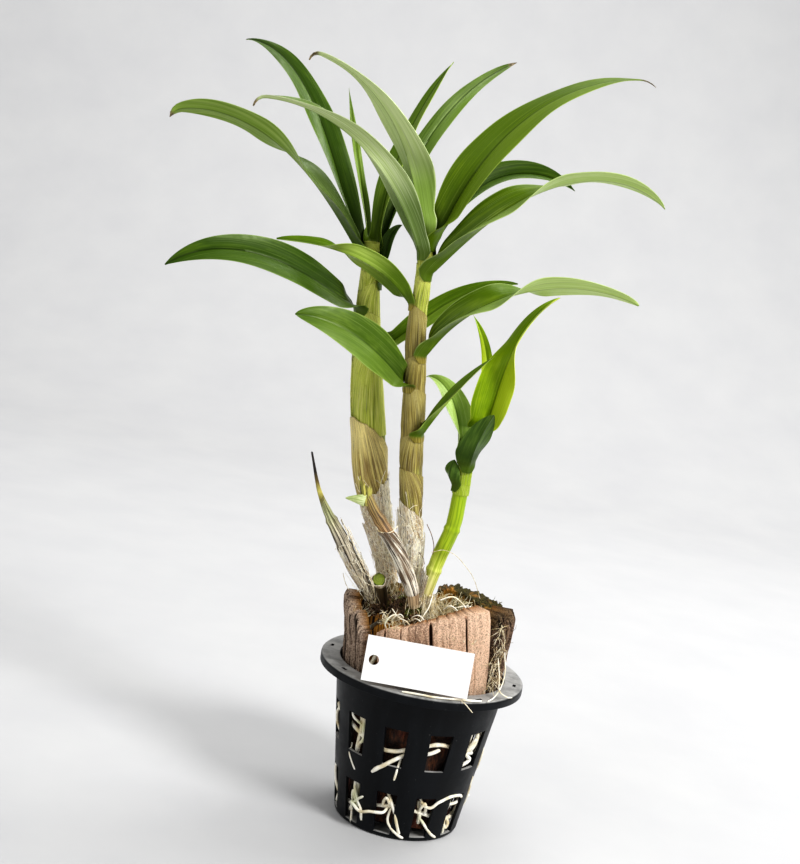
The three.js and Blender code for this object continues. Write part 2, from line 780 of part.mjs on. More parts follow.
/** Section across a blade: an arc round the cane at the foot, which opens to a folded blade. */
function bladeRing(leaf, { s, distance, point, across, out, clasped }, extra) {
  const clasp = 1 - smooth(distance, ...FOOT.clasps);
  const free = (leaf.width / 2) * widthShare(leaf, s);
  const half = extra + lerp(free, Math.max(free, clasped * FOOT.wrap), clasp);
  const fold = radians(lerp(...leaf.fold, smooth(s, ...BLADE.foldEases))) * (1 - clasp);
  const radius = clasped / Math.max(clasp, 1e-3);
  const upper = [];
  const lower = [];
  for (let j = 0; j <= BLADE.across; j += 1) {
    const u = 1 - (2 * j) / BLADE.across;
    const arc = (u * half) / radius;
    const lift = radius * (1 - Math.cos(arc)) + Math.abs(u) * half * BLADE.cup * Math.sin(fold);
    const middle = point.clone()
      .addScaledVector(across, radius * Math.sin(arc) * Math.cos(fold))
      .addScaledVector(out, lift);
    const tilt = arc + Math.sign(u) * fold;
    const normal = out.clone().multiplyScalar(Math.cos(tilt)).addScaledVector(across, -Math.sin(tilt));
    const thickness = lerp(BLADE.thickness, BLADE.edgeThickness, Math.abs(u)) + 2 * extra;
    upper.push(middle.clone().addScaledVector(normal, thickness / 2));
    lower.unshift(middle.clone().addScaledVector(normal, -thickness / 2));
  }
  return [...upper, ...lower];
}

/** A blade, or with extra, the room that it takes up. */
function buildBlade(leaf, extra = 0) {
  const { cane, sheath } = leaf;
  const height = Math.max(sheath[1] - BLADE.insertion, sheath[0] + 0.5);
  const foot = { ...caneAt(cane, height), radius: interpolate(cane.radii, height) };
  return loft(bladeFrames(leaf, foot).map((frame) => bladeRing(leaf, frame, extra)));
}

/** Room that a blade leaves for its cane and for the sheaths higher up. */
function caneRoom(cane, [from, to]) {
  const inside = GAP + 0.2;
  const outside = GAP + SHEATH_WALL + GAP;
  const low = from - 6;
  const high = cane.path.at(-1)[2];
  const radiusAt = (z) => interpolate(cane.radii, z);
  const profile = [[0, low], [radiusAt(low) + inside, low], [radiusAt(to) + inside, to]];
  for (let z = to + 0.05; z < high; z += ROOM_STEP) {
    profile.push([radiusAt(z) + outside, z]);
  }
  profile.push([radiusAt(high) + outside, high], [0, high]);
  return bendOntoCane(profile, cane, CANE_SIDES);
}

/** A leaf whose blade keeps clear of its cane and of the blades that are there already. */
function buildLeaf(leaf, taken) {
  let blade = toSolid(buildBlade(leaf)).subtract(toSolid(caneRoom(leaf.cane, leaf.sheath)));
  for (const room of taken) {
    blade = blade.subtract(room);
  }
  taken.push(toSolid(buildBlade(leaf, GAP)));
  return toGeometry(blade.add(toSolid(sheathTube(leaf.cane, ...leaf.sheath))));
}

// ---------------------------------------------------------------- rhizome and roots

const RHIZOME_PATH = [[-30, 2, 103], [-26, 5, 104], [-19, 7, 105], [-14, 0, 107], [-10, -8, 108],
  [-8, -15, 108], [-10, -21, 107]];
const RHIZOME_KNEES = [[-29, 2, 103], [-19, 8, 105], [-11, -8, 108], [-8, -13, 108], [-10, -19, 107],
  [-22, -6, 106]];
const DESCENDING_ROOTS = [223.5, 320, 91, 172];
const RING_ROOTS = [
  { height: 12.5, wave: 3.5, waves: 3, window: WINDOW_ROWS[0] },
  { height: 47, wave: 3.5, waves: 4, window: WINDOW_ROWS[1] },
];
const RING_STEP = 15.6; // degrees between the points of a ring root
const WINDOW_LOOPS = { share: 0.65, spread: 3.4, reach: 2.2, margin: 2.6, seed: 11 };
const BRIDGE_CLEARANCE = 0.4; // between a root outside the pot and the wall, beyond the gap
const BRIDGES = [
  { window: 9, height: 12 },
  { window: 2, height: 16 },
  { window: 5, height: 10 },
];

const onWall = (azimuth, z, out = 0) => {
  const radius = innerRadius(z) - ROOT.wallGap - ROOT.radius + out;
  return [radius * Math.cos(radians(azimuth)), radius * Math.sin(radians(azimuth)), z];
};

const ringHeight = (ring, azimuth) => ring.height + ring.wave * Math.sin(radians(azimuth * ring.waves));

function descendingRoot(azimuth) {
  const turn = radians(azimuth);
  const at = (radius, z) => [radius * Math.cos(turn), radius * Math.sin(turn), z];
  const points = [[-16, -1, 106], at(16, 98.5), at(25, 94), at(33, 84), onWall(azimuth, 68)];
  for (const z of [52, 36, 20, 7]) {
    points.push(onWall(azimuth + 2.5 * Math.sin(z), z, -0.5));
  }
  return tube(curveThrough(points), ROOT.radius, 12, ROOT.sides);
}

/** Half of a root that circles the wall, a little over half a turn so that two halves join. */
function halfRing(ring, start) {
  const points = [];
  for (let azimuth = start - 4; azimuth <= start + 184; azimuth += RING_STEP) {
    points.push(onWall(azimuth, ringHeight(ring, azimuth)));
  }
  return tube(curveThrough(points), ROOT.radius, 12, ROOT.sides);
}

/** A root that loops out of a window and back in, from the ring root behind it. */
function windowLoop(ring, azimuth, random) {
  const { spread, reach, margin } = WINDOW_LOOPS;
  const up = random() < 0.5 ? 1 : -1;
  const { low, high } = ring.window;
  const start = azimuth - spread;
  const end = azimuth + spread;
  const middle = ringHeight(ring, azimuth);
  const bend = middle + up * (5 + 3 * random());
  const rise = THREE.MathUtils.clamp(bend, low + margin, high - margin) - middle;
  const points = [
    onWall(start, ringHeight(ring, start)),
    onWall(start + 1, middle + rise * 0.5, reach * 0.6),
    onWall(azimuth, middle + rise, reach),
    onWall(end - 1, middle + rise * 0.5, reach * 0.8),
    onWall(end, ringHeight(ring, end)),
  ];
  return tube(curveThrough(points), ROOT.fineRadius, 6, ROOT.fineSides);
}

/** A root that leaves one window and enters the next over the outside of the wall. */
function bridgeRoot({ window, height }) {
  const pitch = 360 / WINDOW_COUNT;
  const from = WINDOW_START + pitch * window;
  const ring = RING_ROOTS[0];
  const clear = GAP + BRIDGE_CLEARANCE;
  const outside = POT.wall + ROOT.wallGap + ROOT.radius + ROOT.fineRadius + clear;
  const points = [
    onWall(from - 2, ringHeight(ring, from - 2)),
    onWall(from + 1, height, outside * 0.75),
    onWall(from + pitch * 0.35, height - 2, outside),
    onWall(from + pitch * 0.65, height, outside),
    onWall(from + pitch - 1, height + 1, outside * 0.75),
    onWall(from + pitch + 2, ringHeight(ring, from + pitch + 2)),
  ];
  return tube(curveThrough(points), ROOT.fineRadius, 10, ROOT.fineSides);
}

function buildRoots() {
  let roots = toSolid(tube(curveThrough(RHIZOME_PATH), RHIZOME.radius, 8, 8));
  for (const knee of RHIZOME_KNEES) {
    const ball = new THREE.SphereGeometry(RHIZOME.nodeRadius, 7, 4).translate(...knee);
    roots = roots.add(toSolid(ball));
  }
  for (const cane of CANES) {
    roots = roots.subtract(toSolid(caneBody(cane, GAP)));
  }
  for (const azimuth of DESCENDING_ROOTS) {
    roots = roots.add(toSolid(descendingRoot(azimuth)));
  }
  const random = makeRandom(WINDOW_LOOPS.seed);
  for (const ring of RING_ROOTS) {
    roots = roots.add(toSolid(halfRing(ring, 0))).add(toSolid(halfRing(ring, 180)));
    for (let i = 0; i < WINDOW_COUNT; i += 1) {
      if (random() < WINDOW_LOOPS.share) {
        const azimuth = WINDOW_START + (360 / WINDOW_COUNT) * i;
        roots = roots.add(toSolid(windowLoop(ring, azimuth, random)));
      }
    }
  }
  for (const bridge of BRIDGES) {
    roots = roots.add(toSolid(bridgeRoot(bridge)));
  }
  return toGeometry(roots);
}

// ---------------------------------------------------------------- assembly

const group = new THREE.Group();
group.name = 'dendrobium_orchid_in_pot';

function addPiece(name, geometry, colour, roughness = 0.8) {
  const material = new THREE.MeshStandardMaterial({ color: colour, roughness, metalness: 0 });
  const mesh = new THREE.Mesh(geometry, material);
  mesh.name = name;
  group.add(mesh);
  return mesh;
}

addPiece('pot', buildPot(), COLOUR.pot, 0.55);

const tag = addPiece('tag', buildTag(), COLOUR.tag, 0.5);
tag.position.set(...TAG.at);
tag.rotation.set(radians(90 - TAG.lean), radians(-TAG.roll), 0);

addPiece('husk_fill', buildFill(), COLOUR.huskFill, 0.95);
for (const chunk of CHUNKS) {
  addPiece(chunk.name, buildChunk(chunk), chunk.colour, 0.95);
}

addPiece('roots', buildRoots(), COLOUR.root, 0.7);
for (const cane of CANES) {
  addPiece(cane.name, caneBody(cane), cane.colour, 0.5);
}
for (const { name, cane, from, to, colour, flare } of DRY_SHEATHS) {
  addPiece(name, sheathTube(cane, from, to, flare), colour, 0.6);
}
const takenByBlades = [];
for (const leaf of LEAVES) {
  addPiece(leaf.name, buildLeaf(leaf, takenByBlades), leaf.colour, 0.4);
}

export default group;
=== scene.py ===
import math
import random

import bpy
import numpy as np
from mathutils import Matrix, Vector, noise


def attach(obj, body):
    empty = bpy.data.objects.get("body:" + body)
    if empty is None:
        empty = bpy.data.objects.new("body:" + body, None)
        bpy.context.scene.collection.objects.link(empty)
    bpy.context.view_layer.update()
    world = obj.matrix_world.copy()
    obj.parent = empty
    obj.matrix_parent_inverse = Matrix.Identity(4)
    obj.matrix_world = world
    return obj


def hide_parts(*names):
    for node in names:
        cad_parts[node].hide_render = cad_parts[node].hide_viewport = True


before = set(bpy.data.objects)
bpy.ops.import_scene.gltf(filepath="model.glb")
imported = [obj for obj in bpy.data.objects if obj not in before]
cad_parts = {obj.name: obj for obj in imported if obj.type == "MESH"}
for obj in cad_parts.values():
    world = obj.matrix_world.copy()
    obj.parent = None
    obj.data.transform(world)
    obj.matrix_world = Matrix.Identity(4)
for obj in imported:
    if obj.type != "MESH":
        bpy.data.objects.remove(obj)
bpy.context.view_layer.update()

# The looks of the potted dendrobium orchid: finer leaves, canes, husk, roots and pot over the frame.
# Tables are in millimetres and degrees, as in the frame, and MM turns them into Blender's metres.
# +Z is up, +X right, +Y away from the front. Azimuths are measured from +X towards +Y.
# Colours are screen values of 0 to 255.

MM = 0.001

# ---------------------------------------------------------------- numbers and curves


def lerp(a, b, share):
    return a + (b - a) * share


def smooth(x, low, high):
    """0 below low, 1 above high, and an even curve between."""
    share = np.clip((x - low) / (high - low), 0.0, 1.0)
    return share * share * (3 - 2 * share)


def through_three(values, s):
    """Smooth value at share s through a start, middle and end value."""
    start, middle, end = values
    return start * (1 - s) * (1 - 2 * s) + middle * 4 * s * (1 - s) + end * s * (2 * s - 1)


def stations(table, x):
    """Value at x of a line through (x, value) stations."""
    return np.interp(x, *zip(*table))


def net(rows, columns, start=-1.0, end=1.0):
    """Shares from 0 to 1 for the rows of a grid, and numbers from start to end for its columns."""
    return np.linspace(0, 1, rows)[:, None], np.linspace(start, end, columns)[None]


def unit(vectors):
    return vectors / np.maximum(np.linalg.norm(vectors, axis=-1, keepdims=True), 1e-9)


def vectors_of(x, y, z):
    """One vector at each place of a grid, from numbers that vary over it."""
    return np.stack(np.broadcast_arrays(x, y, z), -1)


def polar(radius, turn, z):
    """Places round the vertical axis, with turn in radians."""
    return vectors_of(radius * np.cos(turn), radius * np.sin(turn), z)


def rumple(points, size, seed, stretch=(1, 1, 1)):
    """Noise from -1 to 1 at each point, with lumps of about that size in mm, longer by the stretch."""
    scaled = np.asarray(points, float) / size / np.array(stretch) + seed
    flat = [noise.noise(Vector(place)) for place in scaled.reshape(-1, 3)]
    return np.array(flat).reshape(scaled.shape[:-1])


def blend(t, start, end, a, b):
    """Value at t of a line from a at start to b at end."""
    return (end - t) / (end - start) * a + (t - start) / (end - start) * b


def spline(points, per_span):
    """Places on a centripetal Catmull-Rom curve through the points."""
    p = np.array(points, float)
    p = np.vstack([2 * p[0] - p[1], p, 2 * p[-1] - p[-2]])
    spans = []
    for a, b, c, d in zip(p, p[1:], p[2:], p[3:]):
        steps = [np.linalg.norm(end - start) ** 0.5 for start, end in ((a, b), (b, c), (c, d))]
        t1, t2, t3 = np.cumsum(steps)
        t = np.linspace(t1, t2, per_span, endpoint=False)[:, None]
        a, b, c = blend(t, 0.0, t1, a, b), blend(t, t1, t2, b, c), blend(t, t2, t3, c, d)
        spans.append(blend(t, t1, t2, blend(t, 0.0, t2, a, b), blend(t, t1, t3, b, c)))
    return np.vstack([*spans, p[-2]])


# ---------------------------------------------------------------- meshes


def quads_of(index):
    """Quads of a grid of vertex numbers."""
    a, b = index[:-1, :-1], index[:-1, 1:]
    c, d = index[1:, 1:], index[1:, :-1]
    return np.stack([a, b, c, d], -1).reshape(-1, 4)


def numbered(rows, columns):
    return np.arange(rows * columns).reshape(rows, columns)


def ring_quads(rows, columns):
    """Quads of a grid whose last column joins its first."""
    index = numbered(rows, columns)
    return quads_of(np.concatenate([index, index[:, :1]], 1))


def end_fans(rows, columns):
    """Triangles from the first and last ring of a grid to the two vertices that follow it."""
    first, top = rows * columns, (rows - 1) * columns
    fans = []
    for j in range(columns):
        after = (j + 1) % columns
        fans += [(first, after, j), (first + 1, top + j, top + after)]
    return fans


def both_faces(*parts):
    """Traits of a slab's two faces: 1 or 0 for the face, then two numbers over the grid."""
    return np.concatenate([vectors_of(face, *parts) for face in (1.0, 0.0)]).reshape(-1, 3)


def new_object(name, data):
    made = bpy.data.objects.new(name, data)
    bpy.context.scene.collection.objects.link(made)
    return made


class Shape:
    """Closed bodies gathered into one mesh.

    place and trait are two vectors kept at each vertex, which the materials read.
    """

    def __init__(self):
        self.points, self.faces, self.place, self.trait, self.slots = [], [], [], [], []
        self.count = 0

    def add(self, points, faces, place=(0, 0, 0), trait=(0, 0, 0), slot=0):
        points = np.asarray(points, float).reshape(-1, 3)
        self.points.append(points)
        self.place.append(np.broadcast_to(np.reshape(place, (-1, 3)), points.shape))
        self.trait.append(np.broadcast_to(trait, points.shape))
        self.faces.extend([tuple(int(v) + self.count for v in face) for face in faces])
        self.slots.extend([slot] * len(faces))
        self.count += len(points)

    def slab(self, outer, inner, place, trait, slot=0):
        """Body between two grids of the same rows and columns, with place given for one of them."""
        index = numbered(*outer.shape[:2])
        back = index + index.size
        quads = [quads_of(index), quads_of(back)[:, ::-1]]
        edges = (
            (index[0], back[0]),
            (back[-1], index[-1]),
            (back[:, 0], index[:, 0]),
            (index[:, -1], back[:, -1]),
        )
        for front_edge, back_edge in edges:
            quads.append(np.stack([front_edge[1:], front_edge[:-1], back_edge[:-1], back_edge[1:]], 1))
        self.add([outer, inner], np.concatenate(quads), [place, place], trait, slot)

    def tube(self, path, radii, sides, trait, slot=0):
        """Tube along places, with a radius at each."""
        along = unit(np.gradient(path, axis=0))
        angle = (np.arange(sides) * 2 * math.pi / sides)[:, None]
        side = unit(np.cross(along[0], [0.3, 0.5, 0.8]))
        rings = []
        for centre, direction, radius in zip(path, along, radii):
            side = unit(side - direction * (side @ direction))
            up = np.cross(direction, side)
            rings.append(centre + radius * (np.cos(angle) * side + np.sin(angle) * up))
        ends = [path[:1] - along[:1] * radii[0] * 0.5, path[-1:] + along[-1:] * radii[-1] * 0.5]
        faces = [*ring_quads(len(path), sides)[:, ::-1], *end_fans(len(path), sides)]
        self.add(np.vstack([*rings, *ends]), faces, trait=trait, slot=slot)

    def build(self, name, materials, replaces=(), sharp=50):
        """The piece in the scene, in metres, riding on the frame."""
        mesh = bpy.data.meshes.new(name)
        points = np.vstack(self.points) * MM
        mesh.from_pydata(points.tolist(), [], self.faces)
        mesh.polygons.foreach_set("material_index", self.slots)
        for label, values in (("place", self.place), ("trait", self.trait)):
            layer = mesh.attributes.new(label, "FLOAT_VECTOR", "POINT")
            layer.data.foreach_set("vector", np.vstack(values).astype(np.float32).ravel())
        for material in materials:
            mesh.materials.append(material)
        mesh.shade_smooth()
        mesh.set_sharp_from_angle(angle=math.radians(sharp))
        piece = new_object(name, mesh)
        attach(piece, "root")
        if replaces:
            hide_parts(*replaces)
        return piece


# ---------------------------------------------------------------- material nodes


def linear(colour):
    """Colour for a socket: a screen colour is made linear, and a socket or share stays as it is."""
    if not (isinstance(colour, tuple) and len(colour) == 3):
        return colour
    parts = [value / 255 for value in colour]
    return (*[part / 12.92 if part <= 0.04045 else ((part + 0.055) / 1.055) ** 2.4 for part in parts], 1.0)


class Finish:
    """A procedural material under construction."""

    def __init__(self, name):
        self.material = bpy.data.materials.new(name)
        self.material.use_nodes = True
        self.tree = self.material.node_tree
        self.shader = self.tree.nodes["Principled BSDF"]

    def node(self, kind, inputs, **settings):
        made = self.tree.nodes.new("ShaderNode" + kind)
        for key, value in settings.items():
            setattr(made, key, value)
        for key, value in inputs.items():
            self.feed(made.inputs[key], value)
        return made

    def feed(self, socket, value):
        if isinstance(value, bpy.types.NodeSocket):
            self.tree.links.new(value, socket)
        else:
            socket.default_value = value

    def attribute(self, name):
        """The three parts of a vector kept at the vertices."""
        vector = self.node("Attribute", {}, attribute_name=name).outputs["Vector"]
        return self.node("SeparateXYZ", {"Vector": vector}).outputs[:]

    def math(self, operation, a, b=0.0):
        made = self.node("Math", {}, operation=operation)
        self.feed(made.inputs[0], a)
        self.feed(made.inputs[1], b)
        return made.outputs["Value"]

    def times(self, a, b):
        return self.math("MULTIPLY", a, b)

    def plus(self, a, b):
        return self.math("ADD", a, b)

    def vector(self, x, y, z):
        return self.node("CombineXYZ", {"X": x, "Y": y, "Z": z}).outputs["Vector"]

    def noise(self, vector, scale, detail, roughness, distortion=0.0):
        inputs = {"Vector": vector, "Scale": scale, "Detail": detail, "Roughness": roughness}
        return self.node("TexNoise", {**inputs, "Distortion": distortion}).outputs["Fac"]

    def grain(self, scale, detail, roughness, squeeze=None, distortion=0.0):
        """Noise in the piece's own space. squeeze: how much finer it is along each axis."""
        vector = self.node("TexCoord", {}).outputs["Object"]
        if squeeze:
            vector = self.node("Mapping", {"Vector": vector, "Scale": squeeze}).outputs["Vector"]
        return self.noise(vector, scale, detail, roughness, distortion)

    def streaks(self, along, rise, across, squeeze, seed, scale, detail=3.0, roughness=0.6, distortion=0.0):
        """Noise drawn out along a surface: rise and squeeze scale the two directions."""
        vector = self.vector(self.times(along, rise), self.times(across, squeeze), seed)
        return self.noise(vector, scale, detail, roughness, distortion)

    def span(self, value, low, high, to_low=0.0, to_high=1.0):
        """value taken from low..high to to_low..to_high, held at the ends."""
        inputs = {"Value": value, "From Min": low, "From Max": high, "To Min": to_low, "To Max": to_high}
        return self.node("MapRange", inputs, interpolation_type="SMOOTHSTEP").outputs["Result"]

    def mix(self, share, a, b):
        made = self.node("Mix", {}, data_type="RGBA")
        for key, value in (("Factor", share), (6, a), (7, b)):
            self.feed(made.inputs[key], linear(value))
        return made.outputs[2]

    def over(self, body, colour, value, low, high, most=1.0, where=None):
        """body with a colour laid over it: none of it where value is low, and most times where at high."""
        share = self.span(value, low, high, 0.0, most)
        return self.mix(share if where is None else self.times(share, where), body, colour)

    def layers(self, body, *rows):
        """body with each (colour, value, low, high, most, where) laid over it in turn."""
        for row in rows:
            body = self.over(body, *row)
        return body

    def ramp(self, value, *stops):
        """Colour at value through (place, colour) stops."""
        made = self.node("ValToRGB", {"Fac": value})
        elements = made.color_ramp.elements
        while len(elements) < len(stops):
            elements.new(1.0)
        for element, (place, colour) in zip(elements, stops):
            element.position = place
            element.color = linear(colour)
        return made.outputs["Color"]

    def done(self, colour, roughness, height=None, bump=0.3, distance=0.3, **shader):
        """Links the shader.

        roughness may be (noise, least, most). distance is the relief's depth in mm.
        """
        if isinstance(roughness, tuple):
            noise, least, most = roughness
            roughness = self.span(noise, 0.3, 0.7, least, most)
        self.feed(self.shader.inputs["Base Color"], colour)
        self.feed(self.shader.inputs["Roughness"], roughness)
        if height is not None:
            inputs = {"Height": height, "Strength": bump, "Distance": distance * MM}
            self.feed(self.shader.inputs["Normal"], self.node("Bump", inputs).outputs["Normal"])
        for key, value in shader.items():
            self.shader.inputs[key.replace("_", " ")].default_value = value
        return self.material


# ---------------------------------------------------------------- camera, light and backdrop

CAMERA = {"place": (-30.7, -676.7, 287.9), "pitch": 8.3, "roll": 10.05, "lens": 59.54}
SWEEP = {"front": -1900, "wall": 1600, "bend": 700, "height": 2400, "half_width": 2600}
MIDDLE_OF_PLANT = (0, 0, 0.2)
# Lights: place and target in metres, size in metres and power in watts.
LIGHTS = {
    "key": ((1.15, -0.95, 1.35), MIDDLE_OF_PLANT, 0.6, 34),
    "fill": ((-1.3, -1.0, 0.9), MIDDLE_OF_PLANT, 1.2, 5),
    "rim": ((0.7, 0.55, 1.2), MIDDLE_OF_PLANT, 0.8, 11),
    "wall": ((-0.2, 0.5, 1.7), (-0.3, 1.6, 0.5), 1.0, 14),
}


def make_camera():
    data = bpy.data.cameras.new("camera")
    data.lens = CAMERA["lens"]
    data.sensor_width = 36
    data.clip_start = 0.05
    data.clip_end = 20
    camera = new_object("camera", data)
    pitch, roll = math.radians(CAMERA["pitch"]), math.radians(CAMERA["roll"])
    forward = Vector((0, math.cos(pitch), -math.sin(pitch)))
    level = Vector((1, 0, 0))
    right = level * math.cos(roll) + level.cross(forward) * math.sin(roll)
    turn = Matrix((right, right.cross(forward), -forward)).transposed().to_4x4()
    camera.matrix_world = Matrix.Translation(Vector(CAMERA["place"]) * MM) @ turn
    bpy.context.scene.camera = camera


def make_light():
    world = bpy.data.worlds.new("studio")
    world.use_nodes = True
    sky = world.node_tree.nodes["Background"].inputs
    sky["Color"].default_value = (1, 1, 1, 1)
    sky["Strength"].default_value = 0.5
    scene = bpy.context.scene
    scene.world = world
    for name, (place, target, size, power) in LIGHTS.items():
        data = bpy.data.lights.new(name, "AREA")
        data.shape = "DISK"
        data.size = size
        data.energy = power
        light = new_object(name, data)
        light.location = place
        light.rotation_euler = (Vector(target) - Vector(place)).to_track_quat("-Z", "Y").to_euler()
    scene.view_settings.view_transform = "Standard"
    scene.view_settings.look = "Medium High Contrast"


def make_backdrop():
    """A pale floor that curves up into a wall behind the object."""
    bend, wall = SWEEP["bend"], SWEEP["wall"]
    profile = [(SWEEP["front"], 0)]
    for angle in np.radians(np.linspace(0, 90, 25)):
        profile.append((wall - bend + bend * math.sin(angle), bend - bend * math.cos(angle)))
    profile.append((wall, SWEEP["height"]))
    points = []
    for y, z in profile:
        for side in (-1, 1):
            points.append((side * SWEEP["half_width"] * MM, y * MM, (z - 0.2) * MM))
    faces = [(2 * i, 2 * i + 1, 2 * i + 3, 2 * i + 2) for i in range(len(profile) - 1)]
    mesh = bpy.data.meshes.new("backdrop")
    mesh.from_pydata(points, [], faces)
    mesh.shade_smooth()
    new_object("backdrop", mesh)
    paper = Finish("backdrop_paper")
    grain = paper.grain(14.0, 4.0, 0.55)
    colour = paper.ramp(grain, (0.3, (0.43, 0.43, 0.435, 1)), (0.7, (0.455, 0.455, 0.455, 1)))
    mesh.materials.append(paper.done(colour, 0.9))


# ---------------------------------------------------------------- canes

GAP = 0.3
SHEATH_WALL = 0.9
# Each cane's path, its radius at heights, the heights between which it is drawn, and its nodes.
LEFT = {
    "path": [(-19, 9, 104), (-22, 10, 112), (-34, 11, 143), (-41, 11, 162), (-45.5, 11, 184),
             (-51.4, 11, 212), (-56.4, 11, 245), (-59.5, 11, 276)],
    "radii": [(104, 3.2), (112, 3.4), (128, 4.2), (143, 5.6), (162, 7.4), (182, 8.1), (200, 7.7),
              (224, 6.6), (240, 5.7), (253, 4.7), (274, 3.2)],
    "drawn": (107, 274), "nodes": [],
}
MIDDLE = {
    "path": [(-11, -8, 108), (-13, -8, 122), (-19, -8, 154), (-24, -8, 183), (-27.4, -8, 211),
             (-31, -8, 235), (-32.4, -8, 258), (-34, -8, 286)],
    "radii": [(108, 3.2), (122, 3.4), (140, 4.4), (160, 4.9), (178, 5), (206, 4.8), (226, 4.4),
              (245, 3.7), (259, 3.2), (286, 2.5)],
    "drawn": (110, 284), "nodes": [],
}
SHOOT = {
    "path": [(-7, -13, 106), (-5, -14, 120), (-2, -14, 136), (1.6, -15, 151), (2.2, -15, 166),
             (2.4, -16, 186), (4.5, -16, 206)],
    "radii": [(106, 3), (120, 3.4), (136, 3.7), (151, 3.7), (166, 3.6), (186, 3.2), (198, 2.5)],
    "drawn": (110, 196), "nodes": [129, 150],
}
OLD_LEFT = {
    "path": [(-28, 1, 102), (-34, 0, 111), (-44, 0, 124), (-50, 0, 133), (-58, 0, 144), (-64, 0, 154),
             (-71, 0, 173)],
    "radii": [(102, 2.6), (111, 2.9), (124, 3.7), (133, 3.3), (143, 2.4), (149, 1.3), (154, 1.0),
              (160, 0.75), (173, 0.4)],
    "drawn": (105, 172), "nodes": [117, 129, 141],
}
OLD_FRONT = {
    "path": [(-9, -19, 108), (-13, -23, 121), (-26, -24, 142), (-37, -24, 155), (-43, -24, 165)],
    "radii": [(108, 2.6), (121, 2.8), (142, 3), (155, 2.6), (161, 1.9), (165, 1.1)],
    "drawn": (111, 164), "nodes": [150],
}
STUB = {
    "path": [(-24, -9, 104), (-25.4, -11, 110), (-27, -14, 116), (-27.9, -17.3, 119.6), (-28.4, -21, 121.6)],
    "radii": [(104, 2.6), (116, 3.0), (121.6, 2.8)], "drawn": (107, 121.3), "nodes": [],
}


def axis_at(cane, z):
    """Places on a cane's axis at heights z, with directions along, sideways and back."""
    curve = spline(cane["path"], 30)
    slope = unit(np.gradient(curve, axis=0))
    point, along = (
        np.stack([np.interp(z, curve[:, 2], part) for part in values.T], -1) for values in (curve, slope)
    )
    along = unit(along)
    side = unit(np.cross(np.array([0.0, 1.0, 0.0]), along))
    return point, along, side, np.cross(along, side)


def on_cane(cane, z, angle, radius):
    """Places round a cane, from grids of heights, angles in radians and radii."""
    point, _, side, back = axis_at(cane, z)
    turn = np.asarray(angle)[..., None]
    return point + np.asarray(radius)[..., None] * (np.cos(turn) * side + np.sin(turn) * back)


def cane_radius(cane, z):
    """Radius of a cane at heights z, eased between its stations."""
    return np.array([stations(cane["radii"], z + shift) for shift in (-5, -2.5, 0, 2.5, 5)]).mean(axis=0)


def cane_body(shape, cane, ribs, rib_count, seed):
    """The cane itself, with its nodes, and with ribs where it has shrivelled."""
    low, high = cane["drawn"]
    z = np.linspace(low, high, int((high - low) / 0.8))[:, None]
    angle = np.linspace(0, 2 * math.pi, 41)[None, :-1]
    radius = cane_radius(cane, z)
    for node in cane["nodes"]:
        radius = radius + 0.4 * np.exp(-(((z - node) / 0.9) ** 2))
        radius = radius - 0.15 * np.exp(-(((z - node - 2) / 1.2) ** 2))
    grid = on_cane(cane, z, angle, radius)
    wave = np.sin(angle * rib_count + 1.5 * rumple(grid, 14, seed))
    swell = 1 + ribs * wave + 0.25 * ribs * rumple(grid, 2.5, seed, (1, 1, 3)) + 0.02 * rumple(grid, 9, seed)
    grid = on_cane(cane, z, angle, radius * swell)
    point, along, _, _ = axis_at(cane, np.array([low, high], float))
    points = [*grid.reshape(-1, 3), point[0] - along[0] * 0.5, point[1] + along[1] * 0.6]
    place = [*vectors_of(z - low, angle, 0.0).reshape(-1, 3), (0, 0, 0), (high - low, 0, 0)]
    shape.add(points, [*ring_quads(*grid.shape[:2]), *end_fans(*grid.shape[:2])], place)


# ---------------------------------------------------------------- sheaths

# tone: from 0, green, to 1, tan. dip: how much lower the top edge is on the side away from the blade.
# ragged: how far that edge is torn. start: how far the foot is tucked into the sheath below. proud:
# how far it stands off the cane. flare: how much more at the top. All but the tone in mm. The overlap
# is in radians.
SHEATH_LOOK = {
    "tone": 0.0, "dip": 3.0, "ragged": 0.0, "start": 5.0, "proud": 0.35, "flare": 0.0, "wall": 0.4,
    "crumple": 0.2, "seed": 0.0,
}
SHEATH_OVERLAP = 0.22


def sheath(shape, cane, low, high, toward, slot=0, **look):
    """A leaf's sheath, which wraps round a cane and overlaps itself away from its blade.

    toward is the azimuth of the blade. The look is explained at SHEATH_LOOK.
    """
    look = {**SHEATH_LOOK, **look}
    seed, start = look["seed"], look["start"]
    half_wrap = math.pi + SHEATH_OVERLAP
    share, wrap = net(34, 56, -half_wrap, half_wrap)
    angle = wrap + math.radians(toward)
    edge = high + 1.0 - look["dip"] * (np.abs(wrap) / math.pi) ** 1.4
    around = polar(3, angle, seed)
    edge = edge + look["ragged"] * (rumple(around, 1.3, seed) + 0.6 * rumple(around, 0.5, seed + 3))
    height = low - start + share * (edge - low + start)
    core = cane_radius(cane, height.mean(axis=1, keepdims=True))
    emerged = smooth(height, low - 0.5, low + 3.0)
    outside = core + GAP + lerp(0.05, look["proud"], emerged) + 0.07 * wrap + look["flare"] * share**2
    outside = outside + 0.06 * smooth(share, 0.93, 1.0)
    # The veins draw together towards the leaf.
    narrowing = 1 - 0.45 * share**2
    veins = 0.06 * np.sin(wrap / narrowing * 26)
    outer = on_cane(cane, height, angle, outside + veins)
    inner = on_cane(cane, height, angle, outside - look["wall"])
    crumple = look["crumple"] * rumple(outer, 6, seed, (1, 1, 3))[..., None] * unit(outer - inner)
    place = vectors_of(height - low, wrap * core / narrowing, share)
    shape.slab(outer + crumple, inner + crumple, place, (look["tone"], seed, 0), slot)


# ---------------------------------------------------------------- leaves

